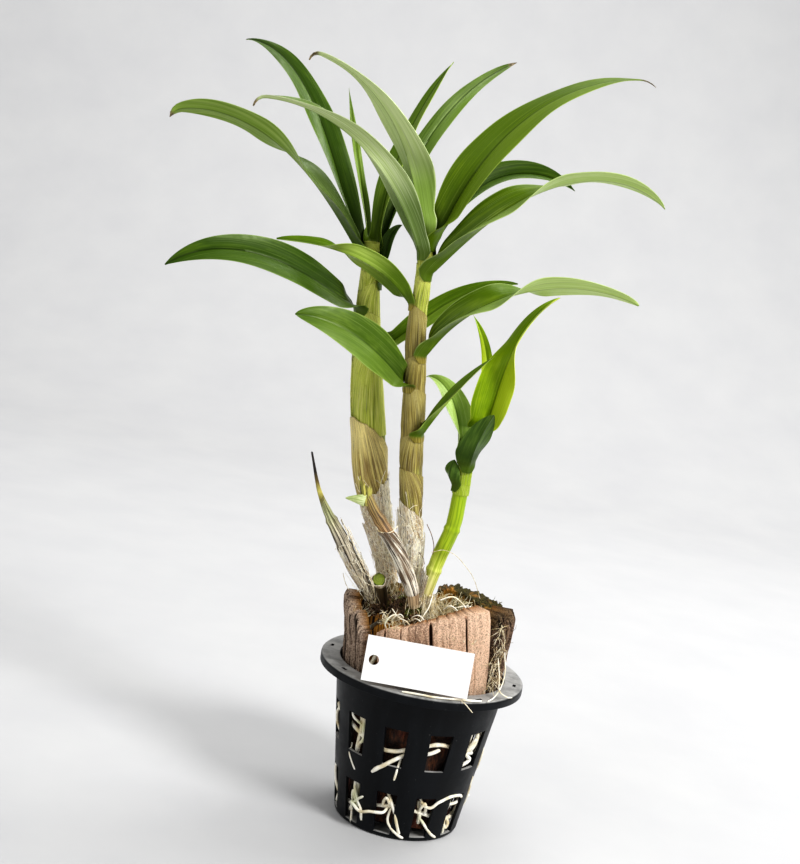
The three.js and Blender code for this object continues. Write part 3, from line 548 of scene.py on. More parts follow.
BLADE = {"thickness": 0.7, "edge": 0.3, "steps": 64, "across": 16, "insertion": 3.5, "unwind": 0.15}
# A blade's foot lies against its cane and clasps it, then lets go, over these distances in mm.
FOOT = {"swells": (2.5, 6.5), "hugs": (0.5, 8), "clasps": (2, 12), "wrap": 0.95, "turns_from": 2}
# What a leaf has where its row says nothing else. base, peak, taper and point: the outline of its blade.
# dry: share of the length where the tip has dried. tan: how dry the sheath is. flip: the share of the
# length where the turn changes over, and half the spread of it. hook: how far the tip turns down.
LEAF_LOOK = {
    "base": 0.55, "peak": 0.35, "taper": 2.4, "point": 0.8, "dry": 1.2, "tan": 0.0, "flip": None, "hook": 0,
}
# Each leaf as in the frame. tone: the blade's material. sheath: its heights. azimuth: at the base and the
# tip. rise: degrees above level at the base, the middle and the tip. turn: how far the upper face is
# turned to the front, near the base and at the tip, below zero where the underside shows. fold: degrees
# that each half is raised along the midrib, near the base and at the tip.
LEAF_ROW = ("cane", "tone", "sheath", "azimuth", "rise", "turn", "fold", "length", "width")
LEAVES = {
    "leaf_left_1": (LEFT, "mid", (188.4, 226), (11, 2), (41, 41, 6), (64, 53), (37, 14), 77, 13,
        {"tan": 0.25}),
    "leaf_left_2": (LEFT, "dark", (226.4, 243), (222, 201), (19, 12, -41), (51, 74), (11, 20), 108, 20,
        {"taper": 2.8}),
    "leaf_left_3": (LEFT, "dusk", (263.4, 266), (215, 168), (46, 34, -23), (33, -39), (54, 10), 126, 17,
        {"dry": 0.985, "flip": (0.5, 0.15), "taper": 4.5, "point": 0.7, "hook": 40}),
    "leaf_left_4": (LEFT, "deep", (243.4, 257), (5, 41), (73, 94, 24), (4, 37), (55, 26), 35, 10.5, {}),
    "leaf_left_5": (LEFT, "dusk", (257.4, 263), (58, 46), (87, 56, 25), (-6, 57), (59, 15), 149, 13,
        {"dry": 0.965}),
    "leaf_left_6": (LEFT, "dark", (266.4, 269), (162, 137), (56, 54, -2), (20, 39), (55, 17), 142, 17.5, {}),
    "leaf_left_7": (LEFT, "mid", (269.4, 272), (62, 17), (98, 75, 61), (-7, 14), (50, 9), 101, 14.5, {}),
    "leaf_left_8": (LEFT, "mid", (272.4, 275), (118, 161), (58, 66, 74), (-16, 39), (57, 15), 80, 6, {}),
    "leaf_middle_1": (MIDDLE, "mid", (174.4, 191), (-47, 9), (59, 58, 49), (41, 32), (58, 30), 55, 8.5,
        {"tan": 0.8}),
    "leaf_middle_2": (MIDDLE, "veined", (191.4, 213), (220, 198), (39, 27, -5), (78, 64), (17, 13), 71, 23.5,
        {"tan": 0.9, "base": 0.5, "peak": 0.45, "point": 0.65}),
    "leaf_middle_3": (MIDDLE, "turned", (213.4, 228), (-35, 16), (63, 25, -17), (38, -27), (50, 5), 115, 23,
        {"tan": 0.9, "flip": (0.5, 0.12), "taper": 3.2, "point": 0.75}),
    "leaf_middle_4": (MIDDLE, "mid", (228.4, 251), (181, 186), (54, 14, -4), (-56, 31), (11, 28), 74, 15,
        {"tan": 0.9, "flip": (0.6, 0.15)}),
    "leaf_middle_5": (MIDDLE, "turned", (251.4, 266), (-38, 15), (47, 34, -36), (40, -13),
        (50, 10), 128, 24.5, {"tan": 0.3, "flip": (0.52, 0.12), "taper": 3.6, "point": 0.7}),
    "leaf_middle_6": (MIDDLE, "dark", (266.4, 270), (59, -2), (78, 39, -29), (5, 68), (66, 38), 100, 21.5,
        {}),
    "leaf_middle_7": (MIDDLE, "glaucous", (270.4, 275), (228, 183), (55, 35, -12), (-23, 9),
        (32, 33), 117, 19, {"dry": 0.975, "flip": (0.6, 0.2), "hook": 60}),
    "leaf_middle_8": (MIDDLE, "bright", (275.4, 280), (-14, -6), (78, 50, 0), (85, 11), (42, 3), 136, 25,
        {"dry": 0.955, "taper": 2.1, "hook": 30}),
    "leaf_middle_9": (MIDDLE, "pale", (280.4, 285), (221, 183), (71, 51, 3), (-25, -4), (54, 2), 106, 23.5,
        {"dry": 0.955, "hook": 75}),
    "shoot_bract": (SHOOT, "deep", (168, 172), (199, 223), (34, 81, 115), (8, -19), (36, 13), 15, 11,
        {"base": 0.9, "peak": 0.5, "taper": 3.5}),
    "leaf_shoot_1": (SHOOT, "deep", (172.4, 182), (286, 306), (80, 64, 55), (15, -19), (45, 19), 34, 17.5,
        {}),
    "leaf_shoot_2": (SHOOT, "pale", (182.4, 187), (150, 132), (83, 56, -13), (15, 25), (66, 21), 50, 17, {}),
    "leaf_shoot_3": (SHOOT, "lime", (187.4, 190), (62, 144), (69, 62, 44), (30, 34), (45, 20), 71, 8, {}),
    "leaf_shoot_4": (SHOOT, "lime", (190.4, 195), (18, 0), (79, 78, 40), (55, 10), (43, 21), 80, 23.5,
        {"flip": (0.5, 0.15), "peak": 0.25, "taper": 2}),
}


def blade_headings(leaf, s, cane_along):
    """Azimuth in radians and direction along the midrib at shares s of the length."""
    azimuth = np.radians(lerp(*leaf["azimuth"], s))
    rise = np.radians(through_three(leaf["rise"], s) - leaf["hook"] * smooth(s, 0.93, 1.0))
    free = polar(np.cos(rise), azimuth, np.sin(rise))
    hold = 1 - smooth(s * leaf["length"], *FOOT["hugs"])
    return azimuth, unit(lerp(free, cane_along, hold[:, None]))


def blade_turn(leaf, s):
    """Degrees that the upper face is turned to the front at shares s."""
    if leaf["flip"]:
        middle, spread = leaf["flip"]
        s = smooth(s, middle - spread, middle + spread)
    return lerp(*leaf["turn"], s)


def blade_side(leaf):
    """1 for a blade whose tip points to the right, -1 to the left."""
    return 1.0 if math.cos(math.radians(leaf["azimuth"][1])) >= 0 else -1.0


def blade_frames(leaf, foot, cane_along, s, inner, outer):
    """Places on the midrib, and directions across and out of the upper face, at even shares s."""
    length = leaf["length"]
    azimuth, along = blade_headings(leaf, s, cane_along)
    _, between = blade_headings(leaf, s[:-1] + 0.5 * s[1], cane_along)
    walk = np.vstack([np.zeros(3), np.cumsum(between, axis=0) * length * s[1]])
    stand = lerp(inner, outer, smooth(s * length, *FOOT["swells"]))[:, None]
    midrib = foot + walk + stand * polar(1, math.radians(leaf["azimuth"][0]), 0)
    level = vectors_of(-np.sin(azimuth), np.cos(azimuth), 0)
    level = unit(level - along * (level * along).sum(-1, keepdims=True))
    loose = smooth(s * length, FOOT["turns_from"], BLADE["unwind"] * length)
    turn = (np.radians(blade_turn(leaf, s)) * loose * blade_side(leaf))[:, None]
    across = level * np.cos(turn) + np.cross(along, level) * np.sin(turn)
    return midrib, across, np.cross(along, across)


def blade_share(leaf, s):
    """Share of the full width at shares s of the length."""
    base = lerp(leaf["base"], 1.0, smooth(s, 0, leaf["peak"]))
    tip = np.clip(1 - s ** leaf["taper"], 0, 1) ** leaf["point"]
    return np.maximum(base * tip, 0.03)


def blade(shape, leaf, seed):
    """The blade, which leaves the sheath as an arc round the cane and opens into a shallow fold."""
    cane, (low, high) = leaf["cane"], leaf["sheath"]
    height = max(high - BLADE["insertion"], low + 0.5)
    foot, cane_along, _, _ = axis_at(cane, height)
    core = float(cane_radius(cane, height))
    inner, outer = core + GAP + SHEATH_WALL / 2, core + 2 * GAP + SHEATH_WALL + 0.55
    s, u = net(BLADE["steps"] + 1, BLADE["across"] + 1, 1.0, -1.0)
    midrib, across, out = blade_frames(leaf, foot, cane_along, s[:, 0], inner, outer)
    along = s * leaf["length"]
    clasp = 1 - smooth(along, *FOOT["clasps"])
    half = blade_share(leaf, s) * leaf["width"] / 2
    half = lerp(half, np.maximum(half, outer * FOOT["wrap"]), clasp)
    half = half * lerp(0.3, 1.0, smooth(along, -2.0, 4.5))
    bend = np.maximum(clasp / outer, 1e-4)
    reach = u * half
    # At the foot the blade is an arc of that bend, and further out its two halves rise from the midrib.
    fold = np.radians(lerp(*leaf["fold"], smooth(s, 0.05, 0.6))) * (1 - clasp)
    lateral = np.sin(bend * reach) / bend * np.cos(fold)
    hump = np.abs(u) * (1.14 - 0.28 * u**2)
    wave = 0.35 * np.sin(along / 6.5 + seed + 1.3 * np.sign(u)) * np.abs(u) ** 3 * (1 - clasp)
    lift = (1 - np.cos(bend * reach)) / bend + half * np.sin(fold) * hump + wave
    groove = 0.3 * np.exp(-((reach / 0.6) ** 2)) * (1 - clasp)
    keel = 0.4 * np.exp(-((reach / 0.7) ** 2)) * (1 - 0.7 * s)
    thick = lerp(BLADE["thickness"], BLADE["edge"], np.abs(u)) * lerp(1.0, 0.7, s)
    middle = midrib[:, None] + across[:, None] * lateral[..., None]
    upper = middle + out[:, None] * (lift + thick / 2 - groove)[..., None]
    lower = middle + out[:, None] * (lift - thick / 2 - keel)[..., None]
    sheath_tan = lerp(0.5, 1.0, leaf["tan"])
    ageing = smooth(s, leaf["dry"] - 0.02, leaf["dry"] + 0.01) - sheath_tan * (1 - smooth(along, 1, 10))
    place = vectors_of(s, u * blade_side(leaf), reach)
    shape.slab(upper, lower, place, both_faces(ageing, seed + 0 * reach))


# Upper face: in the shade at its base, body, veins. Underside: body, veins. Then how far the lower
# half of the upper face takes on the underside's paler colour, which is painted light on that half of the
# fold.
LEAF_TONES = {
    "dark": ((14, 28, 0), (42, 68, 0), (88, 116, 18), (98, 126, 40), (136, 160, 74), 0.15),
    "deep": ((16, 32, 2), (34, 56, 4), (66, 92, 22), (52, 80, 18), (92, 120, 44), 0.1),
    "dusk": ((34, 50, 14), (62, 84, 22), (98, 122, 46), (112, 140, 48), (152, 174, 90), 0.6),
    "mid": ((40, 60, 0), (76, 104, 4), (126, 150, 38), (138, 162, 62), (178, 198, 100), 0.25),
    "bright": ((50, 70, 0), (78, 104, 0), (116, 140, 14), (132, 158, 42), (174, 194, 92), 0.6),
    "veined": ((36, 58, 4), (64, 90, 10), (114, 138, 50), (120, 146, 56), (164, 184, 96), 0.45),
    "turned": ((48, 68, 0), (78, 104, 2), (124, 148, 28), (174, 200, 108), (204, 222, 146), 0.5),
    "glaucous": ((46, 64, 24), (88, 110, 50), (160, 178, 108), (172, 190, 124), (220, 230, 184), 0.1),
    "pale": ((64, 90, 26), (124, 152, 62), (172, 194, 106), (204, 222, 148), (230, 240, 188), 0.15),
    "lime": ((84, 112, 0), (118, 148, 0), (176, 200, 26), (204, 220, 52), (224, 234, 96), 0.85),
}


def leaf_finish(name, shade, body, lit, under, under_lit, lower):
    """Leathery blade: parallel veins, midrib, pale margin, paler underside and dried tip."""
    skin = Finish("leaf_" + name)
    share, upward, reach = skin.attribute("place")
    upper, ageing, seed = skin.attribute("trait")
    bands = skin.streaks(share, 1.6, reach, 0.45, seed, 1.6)
    veins = skin.streaks(share, 1.6, reach, 1.8, seed, 1.6, 2.0, 0.5)
    patch = skin.noise(skin.vector(skin.times(share, 3.0), upward, seed), 1.3, 3.0, 0.6)
    mottle = skin.grain(300.0, 4.0, 0.6)
    off_rib = skin.math("ABSOLUTE", reach)
    lower_half_painted_light = skin.mix(0.6, body, under) if lower > 0.4 else under
    face = skin.layers(
        body,
        # Painted shade: the upper face is darker towards its foot.
        (shade, share, 0.45, 0.05, 0.7),
        (lit, patch, 0.5, 0.75, 0.45),
        (lit, bands, 0.5, 0.7, 0.25),
        # Painted light: the lower half of the folded blade is drawn in the paler underside colour.
        (lower_half_painted_light, share, 0.98, 0.7, 1.0, skin.span(upward, 0.04, -0.1, 0.0, lower)),
        # Painted shade: the groove along the midrib is darkened with the shade colour.
        (shade, off_rib, 0.5, 0.15, 0.55),
    )
    beneath = skin.layers(
        under,
        (under_lit, bands, 0.35, 0.7, 0.7),
        # Painted shade: towards its foot the underside takes on the upper face's darker green.
        (body, share, 0.46, 0.2, 0.95),
        (lit, patch, 0.45, 0.25, 0.35),
        (body, off_rib, 0.5, 0.15, 0.5),
    )
    stalk = skin.over((98, 86, 28), (160, 144, 70), veins, 0.4, 0.6)
    scorch = skin.ramp(skin.grain(900.0, 4.0, 0.55), (0.35, (70, 58, 40)), (0.65, (140, 122, 92)))
    colour = skin.layers(
        skin.mix(upper, beneath, face),
        (shade, veins, 0.5, 0.32, 0.25),
        (under_lit, veins, 0.56, 0.72, 0.18),
        (under_lit, skin.math("ABSOLUTE", upward), 0.94, 0.99, 0.4),
        ((74, 96, 8), ageing, -0.05, -0.5, 0.6),
        (stalk, ageing, -0.72, -0.92),
        (scorch, ageing, 0.05, 0.9),
    )
    relief = skin.plus(bands, skin.times(veins, 0.5))
    return skin.done(colour, (mottle, 0.34, 0.48), relief, 0.4, 0.25,
                     Specular_IOR_Level=0.28, Specular_Tint=(0.85, 1.0, 0.55, 1.0))


# Four colours of each sheath, across its streaks.
GREEN_SHEATH = ((98, 116, 12), (158, 170, 46), (200, 206, 94), (232, 236, 152))
TAN_SHEATH = ((128, 102, 46), (186, 164, 84), (222, 206, 124), (250, 238, 178))
OLIVE_SHEATH = ((68, 56, 14), (122, 108, 40), (166, 150, 72), (212, 196, 124))
SHOOT_SHEATH = ((120, 146, 6), (142, 166, 12), (158, 182, 26), (176, 196, 50))


def sheath_finish(name, green, tan, rim):
    """Leaf sheath: from green to tan along with its tone, with dark veins drawn up to its leaf.

    rim: the colour that a dry sheath takes on towards its top.
    """
    skin = Finish(name)
    height, around, share = skin.attribute("place")
    tone, seed, _ = skin.attribute("trait")
    streak = skin.streaks(height, 0.03, around, 0.7, seed, 1.6)
    thin = skin.streaks(height, 0.03, around, 2.2, seed, 1.5)
    hair = skin.streaks(height, 0.03, around, 5.5, seed, 1.5)
    spots = skin.grain(420.0, 4.0, 0.7)
    cloud = skin.grain(60.0, 2.0, 0.5, (1, 1, 0.5))
    fresh, dry = (skin.ramp(streak, *zip((0.30, 0.45, 0.60, 0.77), tints)) for tints in (green, tan))
    top = skin.over(green[2], rim, tone, 0.4, 0.8)
    purple = skin.times(skin.span(cloud, 0.55, 0.42), skin.span(tone, 0.4, 0.9, 0.0, 0.35))
    dark = skin.span(tone, 0.0, 0.6, 0.35, 0.75)
    body = skin.layers(
        fresh,
        (dry, skin.plus(tone, skin.span(cloud, 0.3, 0.7, -0.35, 0.25)), 0.3, 0.7),
        (top, share, 0.5, 0.85, 1.0, skin.span(cloud, 0.25, 0.5, 0.2, 0.8)),
        ((98, 62, 56), streak, 0.6, 0.4, 1.0, purple),
        ((62, 46, 10), thin, 0.43, 0.31, 1.0, dark),
        ((70, 50, 16), hair, 0.47, 0.38, 1.0, dark),
        ((228, 218, 160), hair, 0.54, 0.66, 0.55),
        ((100, 76, 34), share, 0.985, 0.998, 0.5),
        ((104, 76, 36), spots, 0.62, 0.75, 0.45),
    )
    relief = skin.plus(streak, skin.plus(thin, hair))
    return skin.done(body, (spots, 0.36, 0.54), relief, 0.6, 0.4, Specular_IOR_Level=0.35)


def make_leaves():
    stalk = sheath_finish("sheath_green_to_tan", GREEN_SHEATH, OLIVE_SHEATH, (168, 154, 84))
    lime = sheath_finish("sheath_lime", SHOOT_SHEATH, SHOOT_SHEATH, (176, 196, 50))
    blades = {name: leaf_finish(name, *tone) for name, tone in LEAF_TONES.items()}
    for number, (name, row) in enumerate(LEAVES.items()):
        leaf = {**LEAF_LOOK, **dict(zip(LEAF_ROW, row)), **row[-1]}
        shape = Shape()
        blade(shape, leaf, float(number))
        low, high = leaf["sheath"]
        look = {"tone": leaf["tan"], "seed": number * 1.7, "dip": min(7.0, 0.45 * (high - low))}
        if leaf["cane"] is SHOOT:
            look.update(proud=0.0, start=0.6, wall=0.2, dip=1.0)
        if leaf["cane"] is LEFT:
            look.update(proud=0.12)
        sheath(shape, leaf["cane"], low, high, leaf["azimuth"][0], 1, **look)
        materials = [blades[leaf["tone"]], lime if leaf["cane"] is SHOOT else stalk]
        shape.build(name + "_fine", materials, [name], sharp=70)


# ---------------------------------------------------------------- bare canes and dry sheaths


def round_grain(skin, seed, rise, squeeze):
    """Noise that runs along a cane and has no seam round it."""
    height, angle, _ = skin.attribute("place")
    turned = [skin.times(skin.math(part, angle), squeeze) for part in ("COSINE", "SINE")]
    return skin.noise(skin.vector(skin.plus(skin.times(height, rise), seed), *turned), 1.6, 3.0, 0.6)


def cane_finish(name, stops, spot=(110, 84, 40), streaks=1.0, roughness=(0.36, 0.52), depth=0.25):
    """Bare cane: colour along its length through (height in mm, dark, light) stops, with streaks."""
    skin = Finish(name)
    height, _, _ = skin.attribute("place")
    top = stops[-1][0]
    streak, thin = round_grain(skin, 1.0, 0.03, 3.5), round_grain(skin, 5.0, 0.05, 9.0)
    broad = skin.grain(120.0, 3.0, 0.6, (1, 1, 0.2))
    dots = skin.grain(700.0, 3.0, 0.6)
    along = skin.plus(skin.math("DIVIDE", height, top), skin.span(broad, 0.3, 0.7, -0.03, 0.03))
    dark, light = (skin.ramp(along, *[(stop[0] / top, stop[part]) for stop in stops]) for part in (1, 2))
    body = skin.layers(
        dark,
        (light, streak, 0.36, 0.62),
        (dark, thin, 0.44, 0.34, 0.6 * streaks),
        (light, thin, 0.58, 0.7, 0.5 * streaks),
        (spot, dots, 0.64, 0.74, 0.35 * streaks),
    )
    relief = skin.plus(streak, thin)
    return skin.done(body, (broad, *roughness), relief, 0.5, depth, Specular_IOR_Level=0.35)


def paper_finish(name, light, dark, line, lines=0.6, net=0.0, holes=None):
    """Dry papery sheath: pale, with drawn-out brown lines.

    net: how strongly a net of white threads crosses it. holes: how much of it is torn away.
    """
    skin = Finish(name)
    height, around, _ = skin.attribute("place")
    _, seed, _ = skin.attribute("trait")
    streak = skin.streaks(height, 0.05, around, 0.8, seed, 1.4)
    thin = skin.streaks(height, 0.07, around, 2.2, seed, 1.4)
    blotch = skin.grain(160.0, 4.0, 0.65)
    cloud = skin.grain(75.0, 3.0, 0.6, (1, 1, 0.6))
    body = skin.layers(
        dark,
        (light, streak, 0.43, 0.57),
        (dark, cloud, 0.5, 0.38, 0.6),
        (light, cloud, 0.48, 0.6, 0.75),
        (line, thin, 0.49, 0.40, lines),
        (dark, blotch, 0.56, 0.72, 0.5),
    )
    relief = skin.plus(streak, thin)
    if net:
        for lean in (0.55, -0.4):
            crossing = skin.plus(around, skin.times(height, lean))
            strand = skin.streaks(crossing, 1.0, height, 0.12, seed, 0.6, 2.0, 0.5, 1.5)
            thread = skin.span(skin.math("ABSOLUTE", skin.plus(strand, -0.5)), 0.02, 0.006)
            body = skin.mix(skin.times(thread, net), body, (250, 248, 240))
            relief = skin.plus(relief, thread)
    if holes is not None:
        gaps = skin.streaks(height, 0.35, around, 1.0, seed, 1.5, 5.0, 0.7)
        skin.feed(skin.shader.inputs["Alpha"], skin.span(gaps, holes - 0.04, holes + 0.02))
    return skin.done(body, (blotch, 0.5, 0.7), relief, 0.7, 0.5)


# Bare canes: name, cane, slot, ribs, their count, seed, (height in mm, dark, light) stops, other looks.
CANES = (
    ("cane_left", LEFT, "cane_green", 0.02, 16, 3.0,
     [(0, (92, 76, 44), (140, 122, 84)), (60, (112, 124, 40), (170, 176, 92)),
      (167, (60, 84, 8), (134, 156, 52))], {}),
    ("cane_middle", MIDDLE, "cane_tan", 0.02, 14, 5.0,
     [(0, (84, 84, 36), (140, 132, 74)), (174, (96, 108, 22), (150, 160, 64))], {}),
    ("shoot", SHOOT, "shoot_lime", 0.004, 12, 7.0,
     [(0, (160, 140, 90), (226, 212, 160)), (12, (166, 168, 76), (222, 218, 144)),
      (24, (150, 170, 30), (200, 212, 86)), (30, (112, 130, 10), (150, 166, 30)),
      (34, (128, 154, 4), (164, 186, 30)), (88, (108, 142, 0), (142, 170, 8))],
     {"spot": (96, 110, 20), "streaks": 0.2, "roughness": (0.28, 0.4), "depth": 0.06}),
    ("old_cane_left", OLD_LEFT, "old_cane_grey", 0.09, 11, 9.0,
     [(0, (40, 30, 24), (176, 162, 142)), (28, (50, 38, 28), (206, 196, 172)),
      (34, (96, 90, 58), (208, 202, 168)), (41, (92, 96, 60), (196, 198, 150)),
      (46, (70, 64, 30), (150, 140, 70)), (50, (176, 168, 70), (216, 206, 120)),
      (54, (70, 52, 26), (120, 100, 50)), (57, (14, 11, 10), (44, 36, 32)),
      (67, (12, 10, 10), (36, 30, 28))],
     {"depth": 0.7, "roughness": (0.55, 0.75)}),
    ("old_cane_front", OLD_FRONT, "old_cane_brown", 0.05, 11, 13.0,
     [(0, (90, 66, 44), (206, 184, 148)), (28, (108, 78, 48), (206, 166, 122)),
      (36, (92, 68, 40), (192, 154, 108)), (42, (66, 50, 26), (168, 138, 84)),
      (53, (72, 62, 22), (190, 174, 96))],
     {"depth": 0.5}),
)


def make_canes():
    for name, cane, slot, ribs, rib_count, seed, stops, look in CANES:
        shape = Shape()
        cane_body(shape, cane, ribs, rib_count, seed)
        shape.build(name + "_fine", [cane_finish(name + "_skin", stops, **look)], [name])


def make_stub():
    """Cut stub: a green round face in a thin dry collar."""
    stops = [(0, (24, 17, 12), (64, 50, 36)), (10, (34, 26, 16), (88, 74, 48)),
             (13.2, (54, 60, 16), (110, 116, 52)), (14.6, (88, 108, 14), (146, 158, 44))]
    skin = cane_finish("stub_skin", stops)
    paper = paper_finish("stub_collar", (236, 228, 204), (170, 146, 112), (70, 52, 34))
    shape = Shape()
    cane_body(shape, STUB, 0.03, 12, 4.0)
    share, angle = net(8, 40, -0.2, 2 * math.pi - 0.1)
    z = np.linspace(118.6, 121.5, 8)[:, None]
    radius = 3.0 + 0.35 * share + 0.04 * angle + 0.25 * share * np.sin(angle * 5)
    outer, inner = on_cane(STUB, z, angle, radius), on_cane(STUB, z, angle, radius - 0.3)
    shape.slab(outer, inner, vectors_of(share * 7, angle * 3.5, share), (0, 2.0, 0), 1)
    shape.build("cut_stub_fine", [skin, paper], ["cut_stub"])


# Dry sheaths: name, cane, heights, azimuth of the high side, material, slot and look.
DRY_SHEATHS = (
    ("sheath_left_tan", LEFT, 152, 192, 215, "tan", "sheath_tan",
     {"tone": 1.0, "dip": 22, "ragged": 1.8, "seed": 21.0, "start": 3.0, "proud": 0.7}),
    ("sheath_middle_tan", MIDDLE, 159.4, 174, 200, "olive", "sheath_tan",
     {"tone": 0.9, "ragged": 0.5, "seed": 23.0, "start": 8.0, "dip": 6}),
    ("sheath_left_paper", LEFT, 118, 151.6, 330, "paper", "sheath_paper",
     {"flare": 0.4, "ragged": 1.2, "seed": 25.0, "wall": 0.3, "crumple": 0.5}),
    ("sheath_middle_paper", MIDDLE, 125, 159, 180, "paper", "sheath_paper",
     {"flare": 0.2, "dip": 12, "ragged": 0.8, "seed": 27.0, "wall": 0.3, "crumple": 0.4}),
    ("sheath_old_front", OLD_FRONT, 123, 146, 200, "ribbed", "sheath_paper",
     {"flare": 0.3, "dip": 5, "ragged": 0.6, "seed": 29.0, "wall": 0.3, "crumple": 0.4}),
)


def make_dry_sheaths():
    finishes = {
        "tan": sheath_finish("sheath_dry_tan", GREEN_SHEATH, TAN_SHEATH, (244, 226, 148)),
        "olive": sheath_finish("sheath_dry_olive", GREEN_SHEATH, OLIVE_SHEATH, (176, 162, 88)),
        "paper": paper_finish("sheath_paper_skin", (255, 246, 214), (192, 164, 120), (86, 60, 38), 1.0, 1.0),
        "ribbed": paper_finish("sheath_ribbed_skin", (244, 236, 216), (110, 88, 64), (36, 26, 16), 1.0),
    }
    for name, cane, low, high, toward, finish, slot, look in DRY_SHEATHS:
        shape = Shape()
        sheath(shape, cane, low, high, toward, **look)
        shape.build(name + "_fine", [finishes[finish]], [name])


# Torn papery flaps that lie round a cane: heights, azimuths of the two edges, how far the top edge
# stands off, and how much higher it is at its far edge than at its near one, in mm.
FLAPS = (
    (LEFT, 120, 159, (232, 380), 1.2, 12),
    (LEFT, 112, 144, (186, 270), 0.9, 4),
    (MIDDLE, 118, 150, (186, 300), 0.9, -13),
    (MIDDLE, 115, 141, (262, 380), 0.9, 4),
    (SHOOT, 108, 128, (170, 262), 1.2, -4),
    (SHOOT, 107, 117, (255, 400), 1.4, 2),
    (OLD_LEFT, 108, 138, (330, 410), 0.5, 2),
    (OLD_LEFT, 112, 129, (230, 268), 0.4, 0),
)


def flap(shape, cane, low, high, turn, off, slant, seed):
    """One torn sheet, narrower and a little curled outwards towards its top."""
    share, across = net(26, 24)
    middle, half = math.radians(sum(turn) / 2), math.radians((turn[1] - turn[0]) / 2)
    around = vectors_of(across * 4, seed, 0)
    tear = rumple(around, 1.1, seed) * 2.4 + rumple(around, 0.4, seed) * 1.4 + slant / 2 * across
    height = low + share * (high - low + tear)
    angle = middle + across * half * (1 - 0.15 * share**1.5)
    level = height.mean(axis=1, keepdims=True)
    core = cane_radius(cane, level) + GAP + SHEATH_WALL
    outer = on_cane(cane, height, angle, core + off * share**2 * (0.6 + 0.4 * across**2) + 0.25)
    away = unit(outer - axis_at(cane, level)[0])
    outer = outer + away * (0.55 * rumple(outer, 4.5, seed, (1, 1, 2.5)))[..., None]
    place = vectors_of(share * (high - low), across * half * 6, share)
    shape.slab(outer, outer - away * 0.22, place, (0, seed, 0))


def make_flaps():
    paper = paper_finish("flap_paper", (255, 248, 224), (208, 184, 146), (108, 78, 52), 0.8, 0.9, 0.44)
    shape = Shape()
    for number, row in enumerate(FLAPS):
        flap(shape, *row, 31.0 + number)
    shape.build("papery_flaps", [paper])


BROKEN_TOP = {"foot": (-40.0, -24.5, 156.0), "height": 12.5, "width": 7.0, "lean": -2.6, "thickness": 0.9}
SCALE = {"root": (-41.0, -26.5, 158.6), "tip": (-50.2, -27.0, 158.3), "half": 2.7, "thickness": 0.4}


def make_broken_top():
    """The old front cane's broken yellow-green top and its triangular scale."""
    shape = Shape()
    x, y, z = BROKEN_TOP["foot"]
    share, across = net(18, 15)
    torn = 0.7 * rumple(vectors_of(across * 5, 0, 0), 1.6, 4.0)
    up = share * BROKEN_TOP["height"] * (0.85 + torn - 0.2 * across)
    wide = across * BROKEN_TOP["width"] / 2 * lerp(0.75, 1.0, share)
    dent = 0.3 * np.sin(across * 9) - (1 - across**2) * 1.7
    outer = vectors_of(x + BROKEN_TOP["lean"] * share + wide, y + dent, z + up)
    back = np.array([0, 1.0, 0])
    place = vectors_of(up, wide, share)
    shape.slab(outer, outer + back * BROKEN_TOP["thickness"], place, (0, 4.0, 0))
    share, across = net(18, 9)
    root, tip = np.array(SCALE["root"]), np.array(SCALE["tip"])
    bulge = (share * (1 - share))[..., None] * np.array([0, -1, 1.2])
    wide = SCALE["half"] * (1 - share) ** 0.8 + 0.15
    outer = root + share[..., None] * (tip - root) + bulge + (across * wide)[..., None] * [0.1, 0.3, 1.0]
    outer = outer - ((1 - across**2) * wide * 0.35)[..., None] * back
    place = vectors_of(share * 9, across * wide, share)
    shape.slab(outer, outer + back * SCALE["thickness"], place, (0, 5.0, 0), 1)
    green = paper_finish("broken_top_skin", (184, 178, 84), (90, 78, 26), (48, 38, 14), 1.0)
    scale = paper_finish("scale_skin", (206, 214, 158), (150, 166, 96), (104, 112, 58), 0.3)
    shape.build("old_cane_front_top", [green, scale])


# ---------------------------------------------------------------- coconut husk

POT = {"height": 77.6, "rim": 50, "top": 42.3, "base": 30.7, "wall": 1.5, "lip_drop": 4.2}
HUSK = {"foot": 66, "mound_top": 94.5, "gap": 4.2, "mound": 22, "floor": 4.2}
